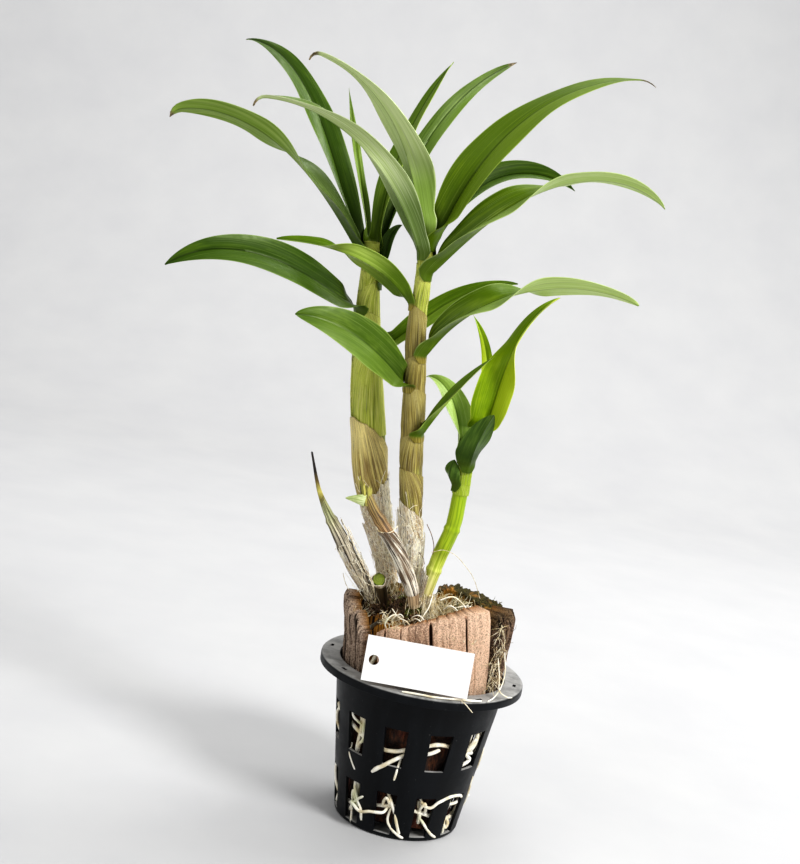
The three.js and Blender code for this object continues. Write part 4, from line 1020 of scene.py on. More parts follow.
# Pieces of husk: azimuths, radii of the inner and outer face, and how flat the outer face is. top: the
# height of the top edge along it. cracks: where the boards part, how deep and how wide. boards: how
# light each one is, from -1 to 1. lean: how much wider it is at the top. skew: how far each side edge
# turns at the foot, in degrees. rough: depth of its bark. moss: on the top edge. skin: its colours.
CHUNKS = {
    "husk_front": {
        "turn": (231, 308.5), "skew": (8, 22), "inner": 29, "outer": 39.5, "flat": 0.8, "lean": 1.05,
        "rough": 0.3, "moss": 0.0, "skin": "pith", "slot": "husk_pith",
        "top": [(0, 99), (0.09, 102.4), (0.22, 104), (0.38, 108), (0.47, 109.4), (0.55, 111.2),
                (0.66, 113.6), (0.78, 115.6), (0.87, 117), (1, 118.2)],
        "cracks": [(0.087, 1.6, 0.007), (0.224, 1.0, 0.005), (0.284, 0.8, 0.004), (0.475, 2.6, 0.01),
                   (0.776, 2.0, 0.006)],
        "boards": [(0.08, -0.5), (0.1, -0.1), (0.22, 0), (0.23, 0.5), (0.28, 0.5), (0.29, -0.8),
                   (0.46, -0.7), (0.49, 0.25), (0.77, 0.4), (0.79, 1), (1, 0.8)],
    },
    "husk_left": {
        "turn": (176, 221), "skew": (0, 0), "inner": 33.5, "outer": 40.2, "flat": 0.2, "lean": 1.1,
        "rough": 1.3, "moss": 0.2, "skin": "bark", "slot": "husk_bark",
        "top": [(0, 106), (0.2, 110), (0.3, 105), (0.55, 107), (0.62, 102), (0.8, 104), (1, 98)],
        "cracks": [(0.22, 2.6, 0.02), (0.45, 2.0, 0.014), (0.62, 3.0, 0.02), (0.84, 2.2, 0.014)],
        "boards": [(0, -0.2), (0.5, 0.6), (1, 0)],
    },
    "husk_right": {
        "turn": (317, 372), "skew": (14, 0), "inner": 28, "outer": 39.8, "flat": 0.2, "lean": 1.02,
        "rough": 1.3, "moss": 0.4, "skin": "weathered", "slot": "husk_bark",
        "top": [(0, 109), (0.2, 115), (0.4, 110), (0.6, 113), (1, 109)],
        "cracks": [(0.12, 3.0, 0.02), (0.3, 2.4, 0.014), (0.46, 3.0, 0.016), (0.75, 2.6, 0.02)],
        "boards": [(0, -0.8), (0.3, 0), (1, -0.2)],
    },
    "husk_back_right": {
        "turn": (22, 86), "skew": (0, 0), "inner": 25.5, "outer": 40, "flat": 0.4, "lean": 1.03,
        "rough": 0.9, "moss": 1.0, "skin": "ochre", "slot": "husk_ochre",
        "top": [(0, 108), (0.3, 110), (0.6, 110.5), (0.85, 111), (1, 108)],
        "cracks": [(0.35, 1.6, 0.012), (0.7, 1.8, 0.01)], "boards": [(0, 0), (1, 0)],
    },
    "husk_back_left": {
        "turn": (96, 166), "skew": (0, 0), "inner": 34, "outer": 40, "flat": 0.4, "lean": 1.03,
        "rough": 1.0, "moss": 0.8, "skin": "ochre", "slot": "husk_bark",
        "top": [(0, 107), (0.4, 108), (0.66, 104), (1, 104)],
        "cracks": [(0.4, 2.2, 0.012), (0.66, 2.6, 0.014)], "boards": [(0, 0), (1, 0.2)],
    },
}
# Colours of the husk: outside (dark, light), in its cracks, where the dark is painted shade, and inside
# (dark, light).
HUSK_SKINS = {
    "pith": (((196, 158, 130), (226, 192, 164)), (62, 38, 26), ((70, 42, 20), (156, 106, 52)), 0.3),
    "bark": (((112, 92, 78), (186, 164, 144)), (34, 25, 19), ((66, 42, 18), (160, 110, 44))),
    "weathered": (((60, 44, 34), (146, 120, 98)), (22, 15, 10), ((56, 36, 18), (140, 96, 44))),
    "ochre": (((66, 46, 30), (122, 92, 64)), (34, 22, 12), ((112, 70, 22), (190, 134, 50))),
}


def pot_inside(z):
    """Radius of the pot's inner face at height z."""
    return lerp(POT["base"], POT["top"], z / POT["height"]) - POT["wall"]


def chunk_radius(one, share):
    """Plan radius of a chunk's outer face: between a round wall and a straight slab."""
    half = math.radians(one["turn"][1] - one["turn"][0]) / 2
    straight = one["outer"] * math.cos(half * 0.8) / np.cos(half * (2 * share - 1))
    return lerp(one["outer"], np.minimum(straight, one["outer"]), one["flat"] * 0.5)


def chunk(shape, one, seed):
    """One piece of husk, with cracks and branching grooves down its grain and a torn top."""
    lift, share = net(56, 130, 0.0)
    rough = one["rough"]
    notch = vectors_of(share * 30, 0, seed)
    torn = rumple(notch, 1.6, seed) + 0.9 * rumple(notch, 0.6, seed + 2)
    top = stations(one["top"], share) + (0.35 + 1.1 * rough) * torn
    z = HUSK["foot"] + lift * (top - HUSK["foot"])
    taper = np.interp(lift, (0, 0.5, 1), (0.94, 1, one["lean"]))
    angle = np.radians(lerp(*one["turn"], share) + lerp(*one["skew"], share) * (1 - lift))
    flat = vectors_of(share * 60, z, seed)
    # Cracks where the boards part, then grooves that branch down the bark.
    crack = np.zeros_like(z)
    for k, (place, depth, wide) in enumerate(one["cracks"]):
        drift = 0.01 * rumple(flat[:, 0], 14, seed + k)[:, None]
        crack += depth * np.exp(-(((share - place - drift) / wide) ** 2))
    crack += 1.3 * rough * np.exp(-((rumple(flat, 3.4, seed + 5, (1, 24, 1)) / 0.09) ** 2))
    grain = rumple(flat, 2.2, seed, (1, 7, 1)) + 0.5 * rumple(flat, 0.9, seed, (1, 5, 1))
    ridge = rumple(flat, 6.5, seed, (1, 6, 1))
    outside = chunk_radius(one, share) * taper - crack + rough * (0.5 * grain + 0.8 * ridge)
    # The top and the two side edges are rounded off.
    from_side = (0.5 - np.abs(share - 0.5)) * 45
    rounding = np.exp(-(((1 - lift) * 22) ** 1.5)) + np.exp(-(from_side**1.5))
    outside = outside - lerp(0.5, 1.6, min(rough, 1)) * rounding
    inside = one["inner"] * taper + 0.9 * rough * rumple(flat + 40, 4.0, seed, (1, 3, 1))
    inside = np.minimum(inside, outside - 1.5)
    # The depth of the cracks and grooves goes to the material, which paints shade in them.
    place = vectors_of(share * 60 + seed * 40, z, crack * smooth(z, top - 0.3, top - 2.5))
    boards = stations(one["boards"], share)
    trait = both_faces(boards, one["moss"] * smooth(z, top - 3.5, top - 0.5))
    shape.slab(polar(outside, angle, z), polar(inside, angle, z), place, trait)


def husk_finish(name, outer_looks, crack, inner_looks, pores=1.0):
    """Husk: drawn-out grain outside, a fibrous inner face, painted shade in its cracks and moss on the top
    edge.

    outer_looks and inner_looks are (dark, light) colours. pores: how strongly the fine ones show outside.
    """
    skin = Finish(name)
    share, z, depth = skin.attribute("place")
    outer, board, mossy = skin.attribute("trait")
    surface = skin.vector(share, skin.times(z, 0.16), 0.0)
    streak, fine = skin.noise(surface, 1.1, 6.0, 0.7), skin.noise(surface, 5.0, 4.0, 0.7)
    dots, patch = skin.grain(1500.0, 3.0, 0.7), skin.grain(110.0, 3.0, 0.6)
    dark, light = outer_looks
    outside = skin.layers(
        dark,
        (light, skin.plus(streak, skin.times(board, 0.12)), 0.36, 0.62),
        (crack, board, -0.2, -1.0, 0.5),
        (crack, fine, 0.42, 0.3, 0.55 * pores),
        (tuple(min(255, part * 1.14) for part in light), dots, 0.51, 0.62, 0.6),
        (tuple(part * 0.62 for part in dark), dots, 0.49, 0.37, 0.75),
        (dark, patch, 0.5, 0.7, 0.3),
    )
    inner_dark, inner_light = inner_looks
    inside = skin.layers(inner_dark, (inner_light, streak, 0.35, 0.6), (crack, fine, 0.45, 0.3, 0.8))
    moss = skin.ramp(dots, (0.36, (18, 16, 8)), (0.5, (50, 44, 18)), (0.66, (98, 90, 38)))
    body = skin.layers(
        skin.mix(outer, inside, outside),
        # Painted shade: the cracks and grooves darken with their depth.
        (crack, depth, 0.3, 1.1),
        (moss, patch, 0.3, 0.5, 1.0, mossy),
    )
    relief = skin.plus(skin.times(fine, 0.8), skin.plus(streak, dots))
    return skin.done(body, (patch, 0.75, 0.92), relief, 0.8, 0.6, Specular_IOR_Level=0.2)


def make_husk():
    skins = {name: husk_finish(name + "_skin", *looks) for name, looks in HUSK_SKINS.items()}
    for number, (name, one) in enumerate(CHUNKS.items()):
        shape = Shape()
        chunk(shape, one, 3.0 + number * 2.3)
        shape.build(name + "_fine", [skins[one["skin"]]], [name], sharp=60)


def fill_finish():
    """Damp dark husk, brown in places and red in others."""
    skin = Finish("husk_fill_skin")
    coarse = skin.grain(260.0, 6.0, 0.7, (1, 1, 0.35))
    fine = skin.grain(1400.0, 4.0, 0.7, (1, 1, 0.3))
    patch = skin.grain(60.0, 2.0, 0.5)
    brown = skin.ramp(coarse, (0.34, (14, 9, 6)), (0.5, (52, 30, 18)), (0.62, (104, 62, 36)),
                      (0.74, (146, 96, 58)))
    red = skin.ramp(coarse, (0.34, (16, 8, 6)), (0.52, (78, 34, 22)), (0.7, (140, 78, 52)))
    body = skin.layers(brown, (red, patch, 0.45, 0.6), ((12, 8, 6), fine, 0.5, 0.3, 0.7))
    relief = skin.plus(coarse, skin.times(fine, 0.6))
    return skin.done(body, (fine, 0.75, 0.95), relief, 1.0, 1.2)


def make_fill():
    """Loose dark husk under the roots, seen through the slots and from above."""
    ledge, floor, mound, top = HUSK["foot"] - GAP, HUSK["floor"], HUSK["mound"], HUSK["mound_top"]
    foot, wall = (pot_inside(height) - HUSK["gap"] for height in (floor, ledge))
    profile = [(0.01, floor), (foot, floor), (wall, ledge), (mound, ledge), (mound - 1, top - 6),
               (mound - 10, top), (0.01, top)]
    outline = []
    for (r0, z0), (r1, z1) in zip(profile, profile[1:]):
        steps = max(2, int(math.hypot(r1 - r0, z1 - z0) / 1.1))
        outline += [(lerp(r0, r1, i / steps), lerp(z0, z1, i / steps)) for i in range(steps)]
    radius, z = np.array([*outline, profile[-1]]).T[..., None]
    angle = np.linspace(0, 2 * math.pi, 181)[:-1]
    grid = polar(radius, angle, z)
    lumps = 2.0 * rumple(grid, 6, 5.0, (1, 1, 1.6)) + 1.3 * rumple(grid, 2.6, 9.0, (1, 1, 2))
    grid = grid + polar(1, angle, 0) * (lumps * np.minimum(radius / 8, 1.0) - 0.6)[..., None]
    grid[..., 2] += np.where(z > ledge + 1, lumps * 0.9, 0)
    shape = Shape()
    shape.add(grid, ring_quads(*grid.shape[:2]))
    shape.build("husk_fill_fine", [fill_finish()], ["husk_fill"])


# ---------------------------------------------------------------- pot and tag

WINDOWS = {"count": 11, "start": 291}
# Rows of windows: lower and upper edge, then the width at each.
WINDOW_ROWS = ((2.1, 23, 8, 10), (37.5, 56.5, 9.5, 11.5))
SLITS = {"count": 8, "start": 261, "radial": (45.1, 46.5), "half": 1.7}
DRAINS = {"count": 6, "start": 0, "radius": 3, "ring": 19}


def pierced(shape, radius, z, openings, half, parts, between, row_open, order=(0, 1, 2, 3)):
    """A sheet of rings round the pot's axis, with openings in the rows where row_open is true.

    Its columns stand at parts of each opening's half angle, in degrees, and at shares of the gap after it.
    """
    pitch = 360 / openings["count"]
    columns = []
    for i in range(openings["count"]):
        middle = openings["start"] + pitch * i
        columns += [middle + half * part for part in parts]
        columns += [middle + half + (pitch - 2 * half) * part for part in between]
    grid = polar(radius[:, None], np.radians(np.array(columns)).T, z[:, None])
    column_open = np.arange(len(columns)) % (len(parts) + len(between)) < len(parts) - 1
    kept = ~(row_open[:, None] & column_open).ravel()
    shape.add(grid, ring_quads(*grid.shape[:2])[kept][:, order])


def pot_wall(shape):
    """The tapered wall with its two rows of windows, as one sheet."""
    (low0, high0, w0, w1), (low1, high1, w2, w3) = WINDOW_ROWS
    heights = [0.0, 0.35, 1.2, low0]
    for end, steps in ((high0, 9), (low1, 7), (high1, 9), (POT["height"] - 1.0, 8)):
        heights += list(np.linspace(heights[-1], end, steps)[1:])
    z = np.array(heights)
    radius = lerp(POT["base"], POT["top"], z / POT["height"])
    radius = radius - np.interp(z, (0, 0.35, 1.2), (0.9, 0.25, 0))
    width = np.interp(z, (low0, high0, low1, high1), (w0, w1, w2, w3))
    half = np.degrees(width / 2 / radius)
    centre = (z[:-1] + z[1:]) / 2
    row_open = (low0 < centre) & (centre < high0) | (low1 < centre) & (centre < high1)
    pierced(shape, radius, z, WINDOWS, half, (-1, -0.5, 0, 0.5, 1), (0.2, 0.4, 0.6, 0.8), row_open)


def pot_flange(shape):
    """The flat rim with its slits, and the lip that turns down."""
    height, rim = POT["height"], POT["rim"]
    inner, outer = SLITS["radial"]
    profile = [(pot_inside(height), height), (42.6, height), (inner, height), (outer, height),
               (rim - 1.4, height), (rim - 0.5, height - 0.15), (rim - 0.1, height - 0.6),
               (rim, height - 1.6), (rim, height - POT["lip_drop"])]
    radius, z = np.array(profile).T
    half = math.degrees(SLITS["half"] / (inner + outer) * 2)
    row_open = radius[:-1] == inner
    between = np.linspace(0, 1, 12)[1:-1]
    pierced(shape, radius, z, SLITS, half, (-1, 0, 1), between, row_open, (0, 3, 2, 1))


def pot_floor(shape):
    """The floor with its ring of drainage holes."""
    ring, hole = DRAINS["ring"], DRAINS["radius"]
    cut = np.sin(np.linspace(-math.pi / 2, math.pi / 2, 7)) * hole
    radius = np.array([0.01, 8, ring - hole - 1, *(ring + cut), ring + hole + 1, 26.5, POT["base"] - 0.9])
    reach = np.sqrt(np.clip(hole**2 - (radius - ring) ** 2, 0, None))
    half = np.degrees(reach / np.maximum(radius, 1))
    half = np.where(np.abs(radius - ring) >= hole - 1e-6, np.where(radius > 12, 0.6, 5), half)
    row_open = np.abs((radius[:-1] + radius[1:]) / 2 - ring) < hole
    between = np.linspace(0, 1, 9)[1:-1]
    pierced(shape, radius, np.zeros_like(radius), DRAINS, half, (-1, 0, 1), between, row_open)


def pot_finish():
    """Black moulded plastic: lighter grey in patches where it faces up, as on the flat rim, scuffed, with a
    faint vertical flow.
    """
    skin = Finish("pot_black_plastic")
    dust, speck = skin.grain(90.0, 6.0, 0.65), skin.grain(900.0, 3.0, 0.7)
    flow = skin.grain(160.0, 3.0, 0.5, (1, 1, 0.15))
    normal = skin.node("NewGeometry", {}).outputs["Normal"]
    upward = skin.node("SeparateXYZ", {"Vector": normal}).outputs["Z"]
    # Lighter grey in patches on the faces that look upward.
    grey_where_facing_up = skin.times(skin.span(upward, 0.3, 0.9), skin.span(dust, 0.3, 0.62, 0.4, 0.95))
    body = skin.over((3, 5, 8), (9, 12, 16), flow, 0.35, 0.65)
    body = skin.layers(
        skin.mix(grey_where_facing_up, body, (158, 157, 154)),
        ((44, 47, 52), dust, 0.6, 0.8, 0.2),
        ((150, 148, 142), speck, 0.68, 0.78, 0.35),
    )
    rough = skin.plus(skin.span(dust, 0.3, 0.7, 0.36, 0.52), skin.span(grey_where_facing_up, 0.0, 1.0, 0.0, 0.15))
    return skin.done(body, rough, skin.plus(speck, flow), 0.15, 0.12, Specular_IOR_Level=0.18)


def soften(piece, width):
    """Rounded edges of that width in mm."""
    edge = piece.modifiers.new("edges", "BEVEL")
    edge.width = width * MM
    edge.segments = 2
    edge.limit_method = "ANGLE"
    return edge


def make_pot():
    shape = Shape()
    pot_wall(shape)
    pot_flange(shape)
    pot_floor(shape)
    pot = shape.build("pot_fine", [pot_finish()], ["pot"])
    shell = pot.modifiers.new("wall", "SOLIDIFY")
    shell.thickness = POT["wall"] * MM
    shell.offset = -1
    shell.use_even_offset = True
    edge = soften(pot, 0.3)
    edge.angle_limit = math.radians(50)
    edge.harden_normals = True


def make_tag():
    """The frame's card, with soft edges and a faint satin grain. Both faces stay bare."""
    skin = Finish("tag_card_white")
    smudge = skin.grain(70.0, 3.0, 0.55)
    body = skin.over((234, 234, 233), (214, 212, 207), smudge, 0.5, 0.75, 0.5)
    satin = skin.grain(1200.0, 3.0, 0.6)
    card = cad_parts["tag"]
    card.data.materials.clear()
    card.data.materials.append(skin.done(body, (smudge, 0.38, 0.5), satin, 0.15, 0.05))
    soften(card, 0.12)


# ---------------------------------------------------------------- roots and fibres

# The roots in the pot are drawn thinner than their solids, slender times as thick.
ROOT = {"radius": 1.2, "fine": 0.9, "wall_gap": 0.5, "slender": 0.82}
RHIZOME_PATH = [(-30, 2, 103), (-26, 5, 104), (-19, 7, 105), (-14, 0, 107), (-10, -8, 108), (-8, -15, 108),
                (-10, -21, 107)]
RHIZOME_KNEES = [(-29, 2, 103), (-19, 8, 105), (-11, -8, 108), (-8, -13, 108), (-10, -19, 107),
                 (-22, -6, 106)]
DESCENDING_ROOTS = (223.5, 320, 91, 172)
RING_ROOTS = (
    {"height": 12.5, "wave": 3.5, "waves": 3, "window": WINDOW_ROWS[0]},
    {"height": 47, "wave": 3.5, "waves": 4, "window": WINDOW_ROWS[1]},
)
WINDOW_LOOPS = {"share": 0.65, "spread": 3.4, "reach": 2.2, "margin": 2.6, "seed": 11}
# Roots that cross outside from one window to the next: the window's number and a height.
BRIDGES = ((9, 12), (2, 16), (5, 10))
# Roots that show at the front, through and over the windows: radius, then azimuth, height and
# distance out from the wall's inner face at each point.
FRONT_ROOTS = [
    (0.7, [(218, 57, 1.5), (222, 55, 3.0), (227, 52, 1.0)]),
    (1.1, [(227, 57, -1.5), (229, 51, 0.2), (230, 45, 0.6), (225, 41, 0.2), (221, 36, -1.0)]),
    (0.7, [(216, 40, 0.5), (219, 36, 2.6), (223, 32, 3.0), (227, 29, 3.0)]),
    (1.2, [(244, 32, 3.6), (254, 38, 2.6), (263, 42, 1.4), (268, 44, -1.0)]),
    (0.7, [(264, 41, 0.0), (263, 36, 3.0), (262, 31, 3.2)]),
    (1.1, [(281, 45.5, 1.0), (287, 47, 1.4), (293, 48.2, 0.6)]),
    (1.1, [(327, 56, 1.5), (324, 50, 2.4), (318, 46, 1.2), (325, 42, 2.0), (315, 37.5, 0.5)]),
    (0.7, [(313, 52, -0.5), (317, 49.5, 1.0), (320, 47, -0.5)]),
    (0.9, [(222, 23, -1.0), (226, 19.5, 1.5), (231, 15, 2.6), (236, 11, 3.1), (238, 5, 3.1)]),
    (0.8, [(238, 17.5, 3.0), (231, 14, 3.2), (225, 10, 2.4), (218, 5.5, 0.5)]),
    (0.7, [(223, 9, 1.4), (225, 4, 2.4), (226, 1, 2.8)]),
    (1.0, [(257, 23, -0.5), (263, 18, 1.8), (268, 12, 2.7), (271, 7, 2.9), (274, 3.2, 2.9)]),
    (0.8, [(263, 15, 1.0), (262, 9, 2.2), (267, 5, 2.9), (273, 2.6, 3.1), (278, 1.4, 3.0)]),
    (1.3, [(288, 20, -1.2), (290, 14, -0.2), (292, 8, -0.8)]),
    (0.9, [(287, 22, 0.0), (291, 19, 1.8), (296, 18.4, 3.2), (302, 21.4, 3.6), (312, 23.8, 3.6),
           (326, 22.8, 3.2), (335, 19, 2.0), (329, 17, 0.6), (318, 17, -0.6)]),
    (0.8, [(292, 11, 0.4), (298, 7, 2.6), (304, 3.6, 3.2), (310, 1.6, 3.1)]),
    (0.9, [(321, 16, -0.4), (320, 9, 1.2), (321, 2.4, 2.0)]),
    (0.8, [(193, 54, 0.4), (191, 50, 2.6), (190, 45, 2.8), (192, 39, 1.0)]),
    (0.8, [(189, 26, 2.0), (192, 20, 3.2), (196, 13, 2.8), (201, 6, 0.6)]),
    (0.8, [(352, 50, 0.6), (348, 43, 3.0), (350, 36, 3.2), (356, 30, 3.0)]),
    (0.8, [(342, 30, 3.0), (346, 22, 3.2), (352, 14, 3.0), (356, 7, 1.0)]),
]


def make_random(seed):
    """The frame's own small repeatable random numbers, so that the roots lie where its roots do."""
    state = seed
    while True:
        state = (state * 16807) % 2147483647
        yield state / 2147483647


def on_wall(azimuth, z, out=0.0):
    radius = pot_inside(z) - ROOT["wall_gap"] - ROOT["radius"] + out
    return (radius * math.cos(math.radians(azimuth)), radius * math.sin(math.radians(azimuth)), z)


def ring_height(ring, azimuth):
    return ring["height"] + ring["wave"] * math.sin(math.radians(azimuth * ring["waves"]))


def frame_root_paths():
    """The frame's roots as (radius, points)."""
    roots = []
    for azimuth in DESCENDING_ROOTS:
        turn = math.radians(azimuth)
        points = [(-16, -1, 106)]
        for radius, z in ((16, 98.5), (25, 94), (33, 84)):
            points.append((radius * math.cos(turn), radius * math.sin(turn), z))
        points.append(on_wall(azimuth, 68))
        for z in (52, 36, 20, 7):
            points.append(on_wall(azimuth + 2.5 * math.sin(z), z, -0.5))
        roots.append((ROOT["radius"], points))
    draw = make_random(WINDOW_LOOPS["seed"])
    spread, reach = WINDOW_LOOPS["spread"], WINDOW_LOOPS["reach"]
    pitch = 360 / WINDOWS["count"]
    for ring in RING_ROOTS:
        circle = [on_wall(azimuth, ring_height(ring, azimuth)) for azimuth in range(0, 365, 5)]
        roots.append((ROOT["radius"], circle))
        for i in range(WINDOWS["count"]):
            if next(draw) >= WINDOW_LOOPS["share"]:
                continue
            azimuth = WINDOWS["start"] + pitch * i
            up = 1 if next(draw) < 0.5 else -1
            middle = ring_height(ring, azimuth)
            low, high = ring["window"][:2]
            margin = WINDOW_LOOPS["margin"]
            rise = min(max(middle + up * (5 + 3 * next(draw)), low + margin), high - margin) - middle
            start, end = azimuth - spread, azimuth + spread
            roots.append((ROOT["fine"], [
                on_wall(start, ring_height(ring, start)),
                on_wall(start + 1, middle + rise * 0.5, reach * 0.6),
                on_wall(azimuth, middle + rise, reach),
                on_wall(end - 1, middle + rise * 0.5, reach * 0.8),
                on_wall(end, ring_height(ring, end)),
            ]))
    outside = POT["wall"] + ROOT["wall_gap"] + ROOT["radius"] + ROOT["fine"] + GAP + 0.4
    ring = RING_ROOTS[0]
    for window, z in BRIDGES:
        start = WINDOWS["start"] + pitch * window
        end = start + pitch
        roots.append((ROOT["fine"], [
            on_wall(start - 2, ring_height(ring, start - 2)),
            on_wall(start + 1, z, outside * 0.75),
            on_wall(start + pitch * 0.35, z - 2, outside),
            on_wall(start + pitch * 0.65, z, outside),
            on_wall(end - 1, z + 1, outside * 0.75),
            on_wall(end + 2, ring_height(ring, end + 2)),
        ]))
    return roots


def root_tube(shape, radius, points, seed):
    """A root that wanders a little and swells and narrows unevenly."""
    path = spline(points, 8)
    wander = np.stack([rumple(path, 5, seed + k * 7) for k in range(3)], -1)
    path = path + 0.35 * radius * wander
    uneven = radius * (1 + 0.16 * rumple(path, 3.5, seed))
    ends = np.minimum(np.arange(len(path)), np.arange(len(path))[::-1])
    shape.tube(path, uneven * np.clip(0.7 + ends * 0.15, 0, 1), 10, (0, seed, 0))


def lump(shape, centre, size, seed):
    """A rough rounded lump. size is its half widths in mm."""
    tilt = np.linspace(-math.pi / 2 + 0.05, math.pi / 2 - 0.05, 22)[:, None]
    turn = np.linspace(0, 2 * math.pi, 35)[None, :-1]
    ball = polar(np.cos(tilt), turn, np.sin(tilt))
    grid = np.array(centre, float) + ball * size
    uneven = 1.1 * rumple(grid, 4.2, seed) + 0.7 * rumple(grid, 1.6, seed + 3)
    grid = grid + ball * uneven[..., None]
    index = numbered(*grid.shape[:2])
    shape.add(grid, [*ring_quads(*grid.shape[:2]), index[0, ::-1], index[-1]], slot=1)


def rhizome(shape):
    """The creeping stem that joins the canes, wrapped in old fibres and moss."""
    for number, place in enumerate(spline(RHIZOME_PATH, 5)):
        lump(shape, place + [0, 0, -1.0], (4.6, 4.6, 4.4), number * 1.9)
    for number, knee in enumerate(RHIZOME_KNEES):
        lump(shape, knee, (5.2, 5.0, 5.4), 50 + number * 2.3)


def root_finish():
    """Velvety white to cream root skin, brown where it is bruised and green in places."""
    skin = Finish("root_skin")
    broad, fine = skin.grain(130.0, 3.0, 0.6), skin.grain(1100.0, 4.0, 0.6)
    body = skin.layers(
        skin.ramp(broad, (0.32, (206, 190, 150)), (0.48, (234, 228, 208)), (0.66, (246, 244, 236))),
        ((176, 150, 108), fine, 0.56, 0.72, 0.5),
        ((176, 184, 120), skin.grain(70.0, 2.0, 0.5), 0.6, 0.72, 0.5),
    )
    return skin.done(body, (broad, 0.5, 0.7), fine, 0.4, 0.3)


def mat_finish():
    """Dark mat of dead fibres with cream strands and moss in it."""
    skin = Finish("fibre_mat")
    strand = skin.grain(620.0, 5.0, 0.7, (1.6, 1.6, 0.5), 0.8)
    crumb, patch = skin.grain(1500.0, 3.0, 0.7), skin.grain(130.0, 3.0, 0.6)
    brown = skin.ramp(strand, (0.36, (20, 13, 8)), (0.5, (62, 44, 28)), (0.6, (120, 94, 62)),
                      (0.68, (206, 188, 142)))
    moss = skin.ramp(strand, (0.36, (20, 24, 6)), (0.52, (66, 70, 24)), (0.66, (150, 152, 78)))
    body = skin.layers(brown, (moss, patch, 0.5, 0.6), ((14, 10, 6), crumb, 0.45, 0.3, 0.8))
    relief = skin.plus(strand, crumb)
    return skin.done(body, (crumb, 0.8, 0.95), relief, 1.0, 0.8, Specular_IOR_Level=0.15)


# White roots that lie over the husk and on the pot's rim: radius and points in mm.
TOP_ROOTS = [
    (0.34, [(-13, -25, 103), (-15, -28, 107), (-19, -30, 108), (-22, -31, 104), (-21, -30, 101)]),
    (0.28, [(-11, -26, 105), (-8, -29, 108), (-4, -30, 106), (-2, -29, 103)]),
    (0.3, [(-20, -26, 110), (-16, -29, 107), (-12, -30, 106), (-9, -29, 102)]),
    (0.26, [(-17, -24, 104), (-14, -28, 107), (-16, -30, 109), (-19, -30, 106), (-18, -29, 102)]),
    (0.26, [(-8, -24, 104), (-10, -28, 108), (-7, -30, 110), (-4, -29, 107), (-6, -28, 103)]),
    (0.36, [(2, -18, 116), (8, -16, 118), (14, -14, 114), (19, -14, 108), (20, -14, 102)]),
    (0.32, [(4, -20, 112), (7, -22, 115), (11, -22, 113), (14, -21, 107)]),
    (0.32, [(13, -12, 107), (15, -11, 112), (19, -10, 113), (21, -12, 109), (18, -13, 106)]),
    (0.26, [(-2, -20, 118), (-3, -24, 113), (-5, -27, 109), (-6, -29, 105)]),
    (0.34, [(10, -12, 112), (17, -9, 113), (23, -9, 110), (24, -12, 106)]),
    (0.5, [(-9, -47.4, 78.2), (-2, -47.7, 78.3), (6, -47.2, 78.2), (14, -45.7, 78.3), (22, -43.7, 78.3),
           (28, -41.2, 78.2)]),
    (0.22, [(18, -44.8, 78.1), (20, -48, 78.0), (22, -50.4, 77.0), (24, -51, 75.4)]),
    (0.35, [(-36, 2, 116), (-36.5, -2, 110), (-37, -6, 104), (-36.5, -9, 98)]),
    (0.3, [(33, -28, 96), (35, -31, 88), (36, -33, 82), (40, -31, 79), (43, -28, 78.2)]),
    (0.3, [(36, -24, 98), (37.5, -27, 90), (37, -30, 84), (34, -35, 79.2), (31, -40, 78.2)]),
]


def make_roots():
    material = root_finish()
    shape = Shape()
    for number, (radius, points) in enumerate(frame_root_paths()):
        root_tube(shape, ROOT["slender"] * radius, points, number * 1.3)
    rhizome(shape)
    shape.build("roots_fine", [material, mat_finish()], ["roots"])
    shape = Shape()
    for number, (radius, points) in enumerate(FRONT_ROOTS):
        places = [on_wall(*point) for point in points]
        root_tube(shape, ROOT["slender"] * radius, places, 60 + number * 1.7)
    for number, (radius, points) in enumerate(TOP_ROOTS):
        root_tube(shape, radius, points, 100 + number * 1.7)
    shape.build("front_roots", [material])


# The fibres' colours: dark and light. Tufts, threads and hairs name theirs by its number.
FIBRES = {
    "fibre_cream": ((188, 168, 118), (240, 232, 206)),
    "fibre_brown": ((44, 30, 20), (128, 98, 66)),
    "fibre_moss": ((32, 30, 14), (104, 98, 48)),
    "fibre_white": ((222, 210, 176), (252, 248, 230)),
}
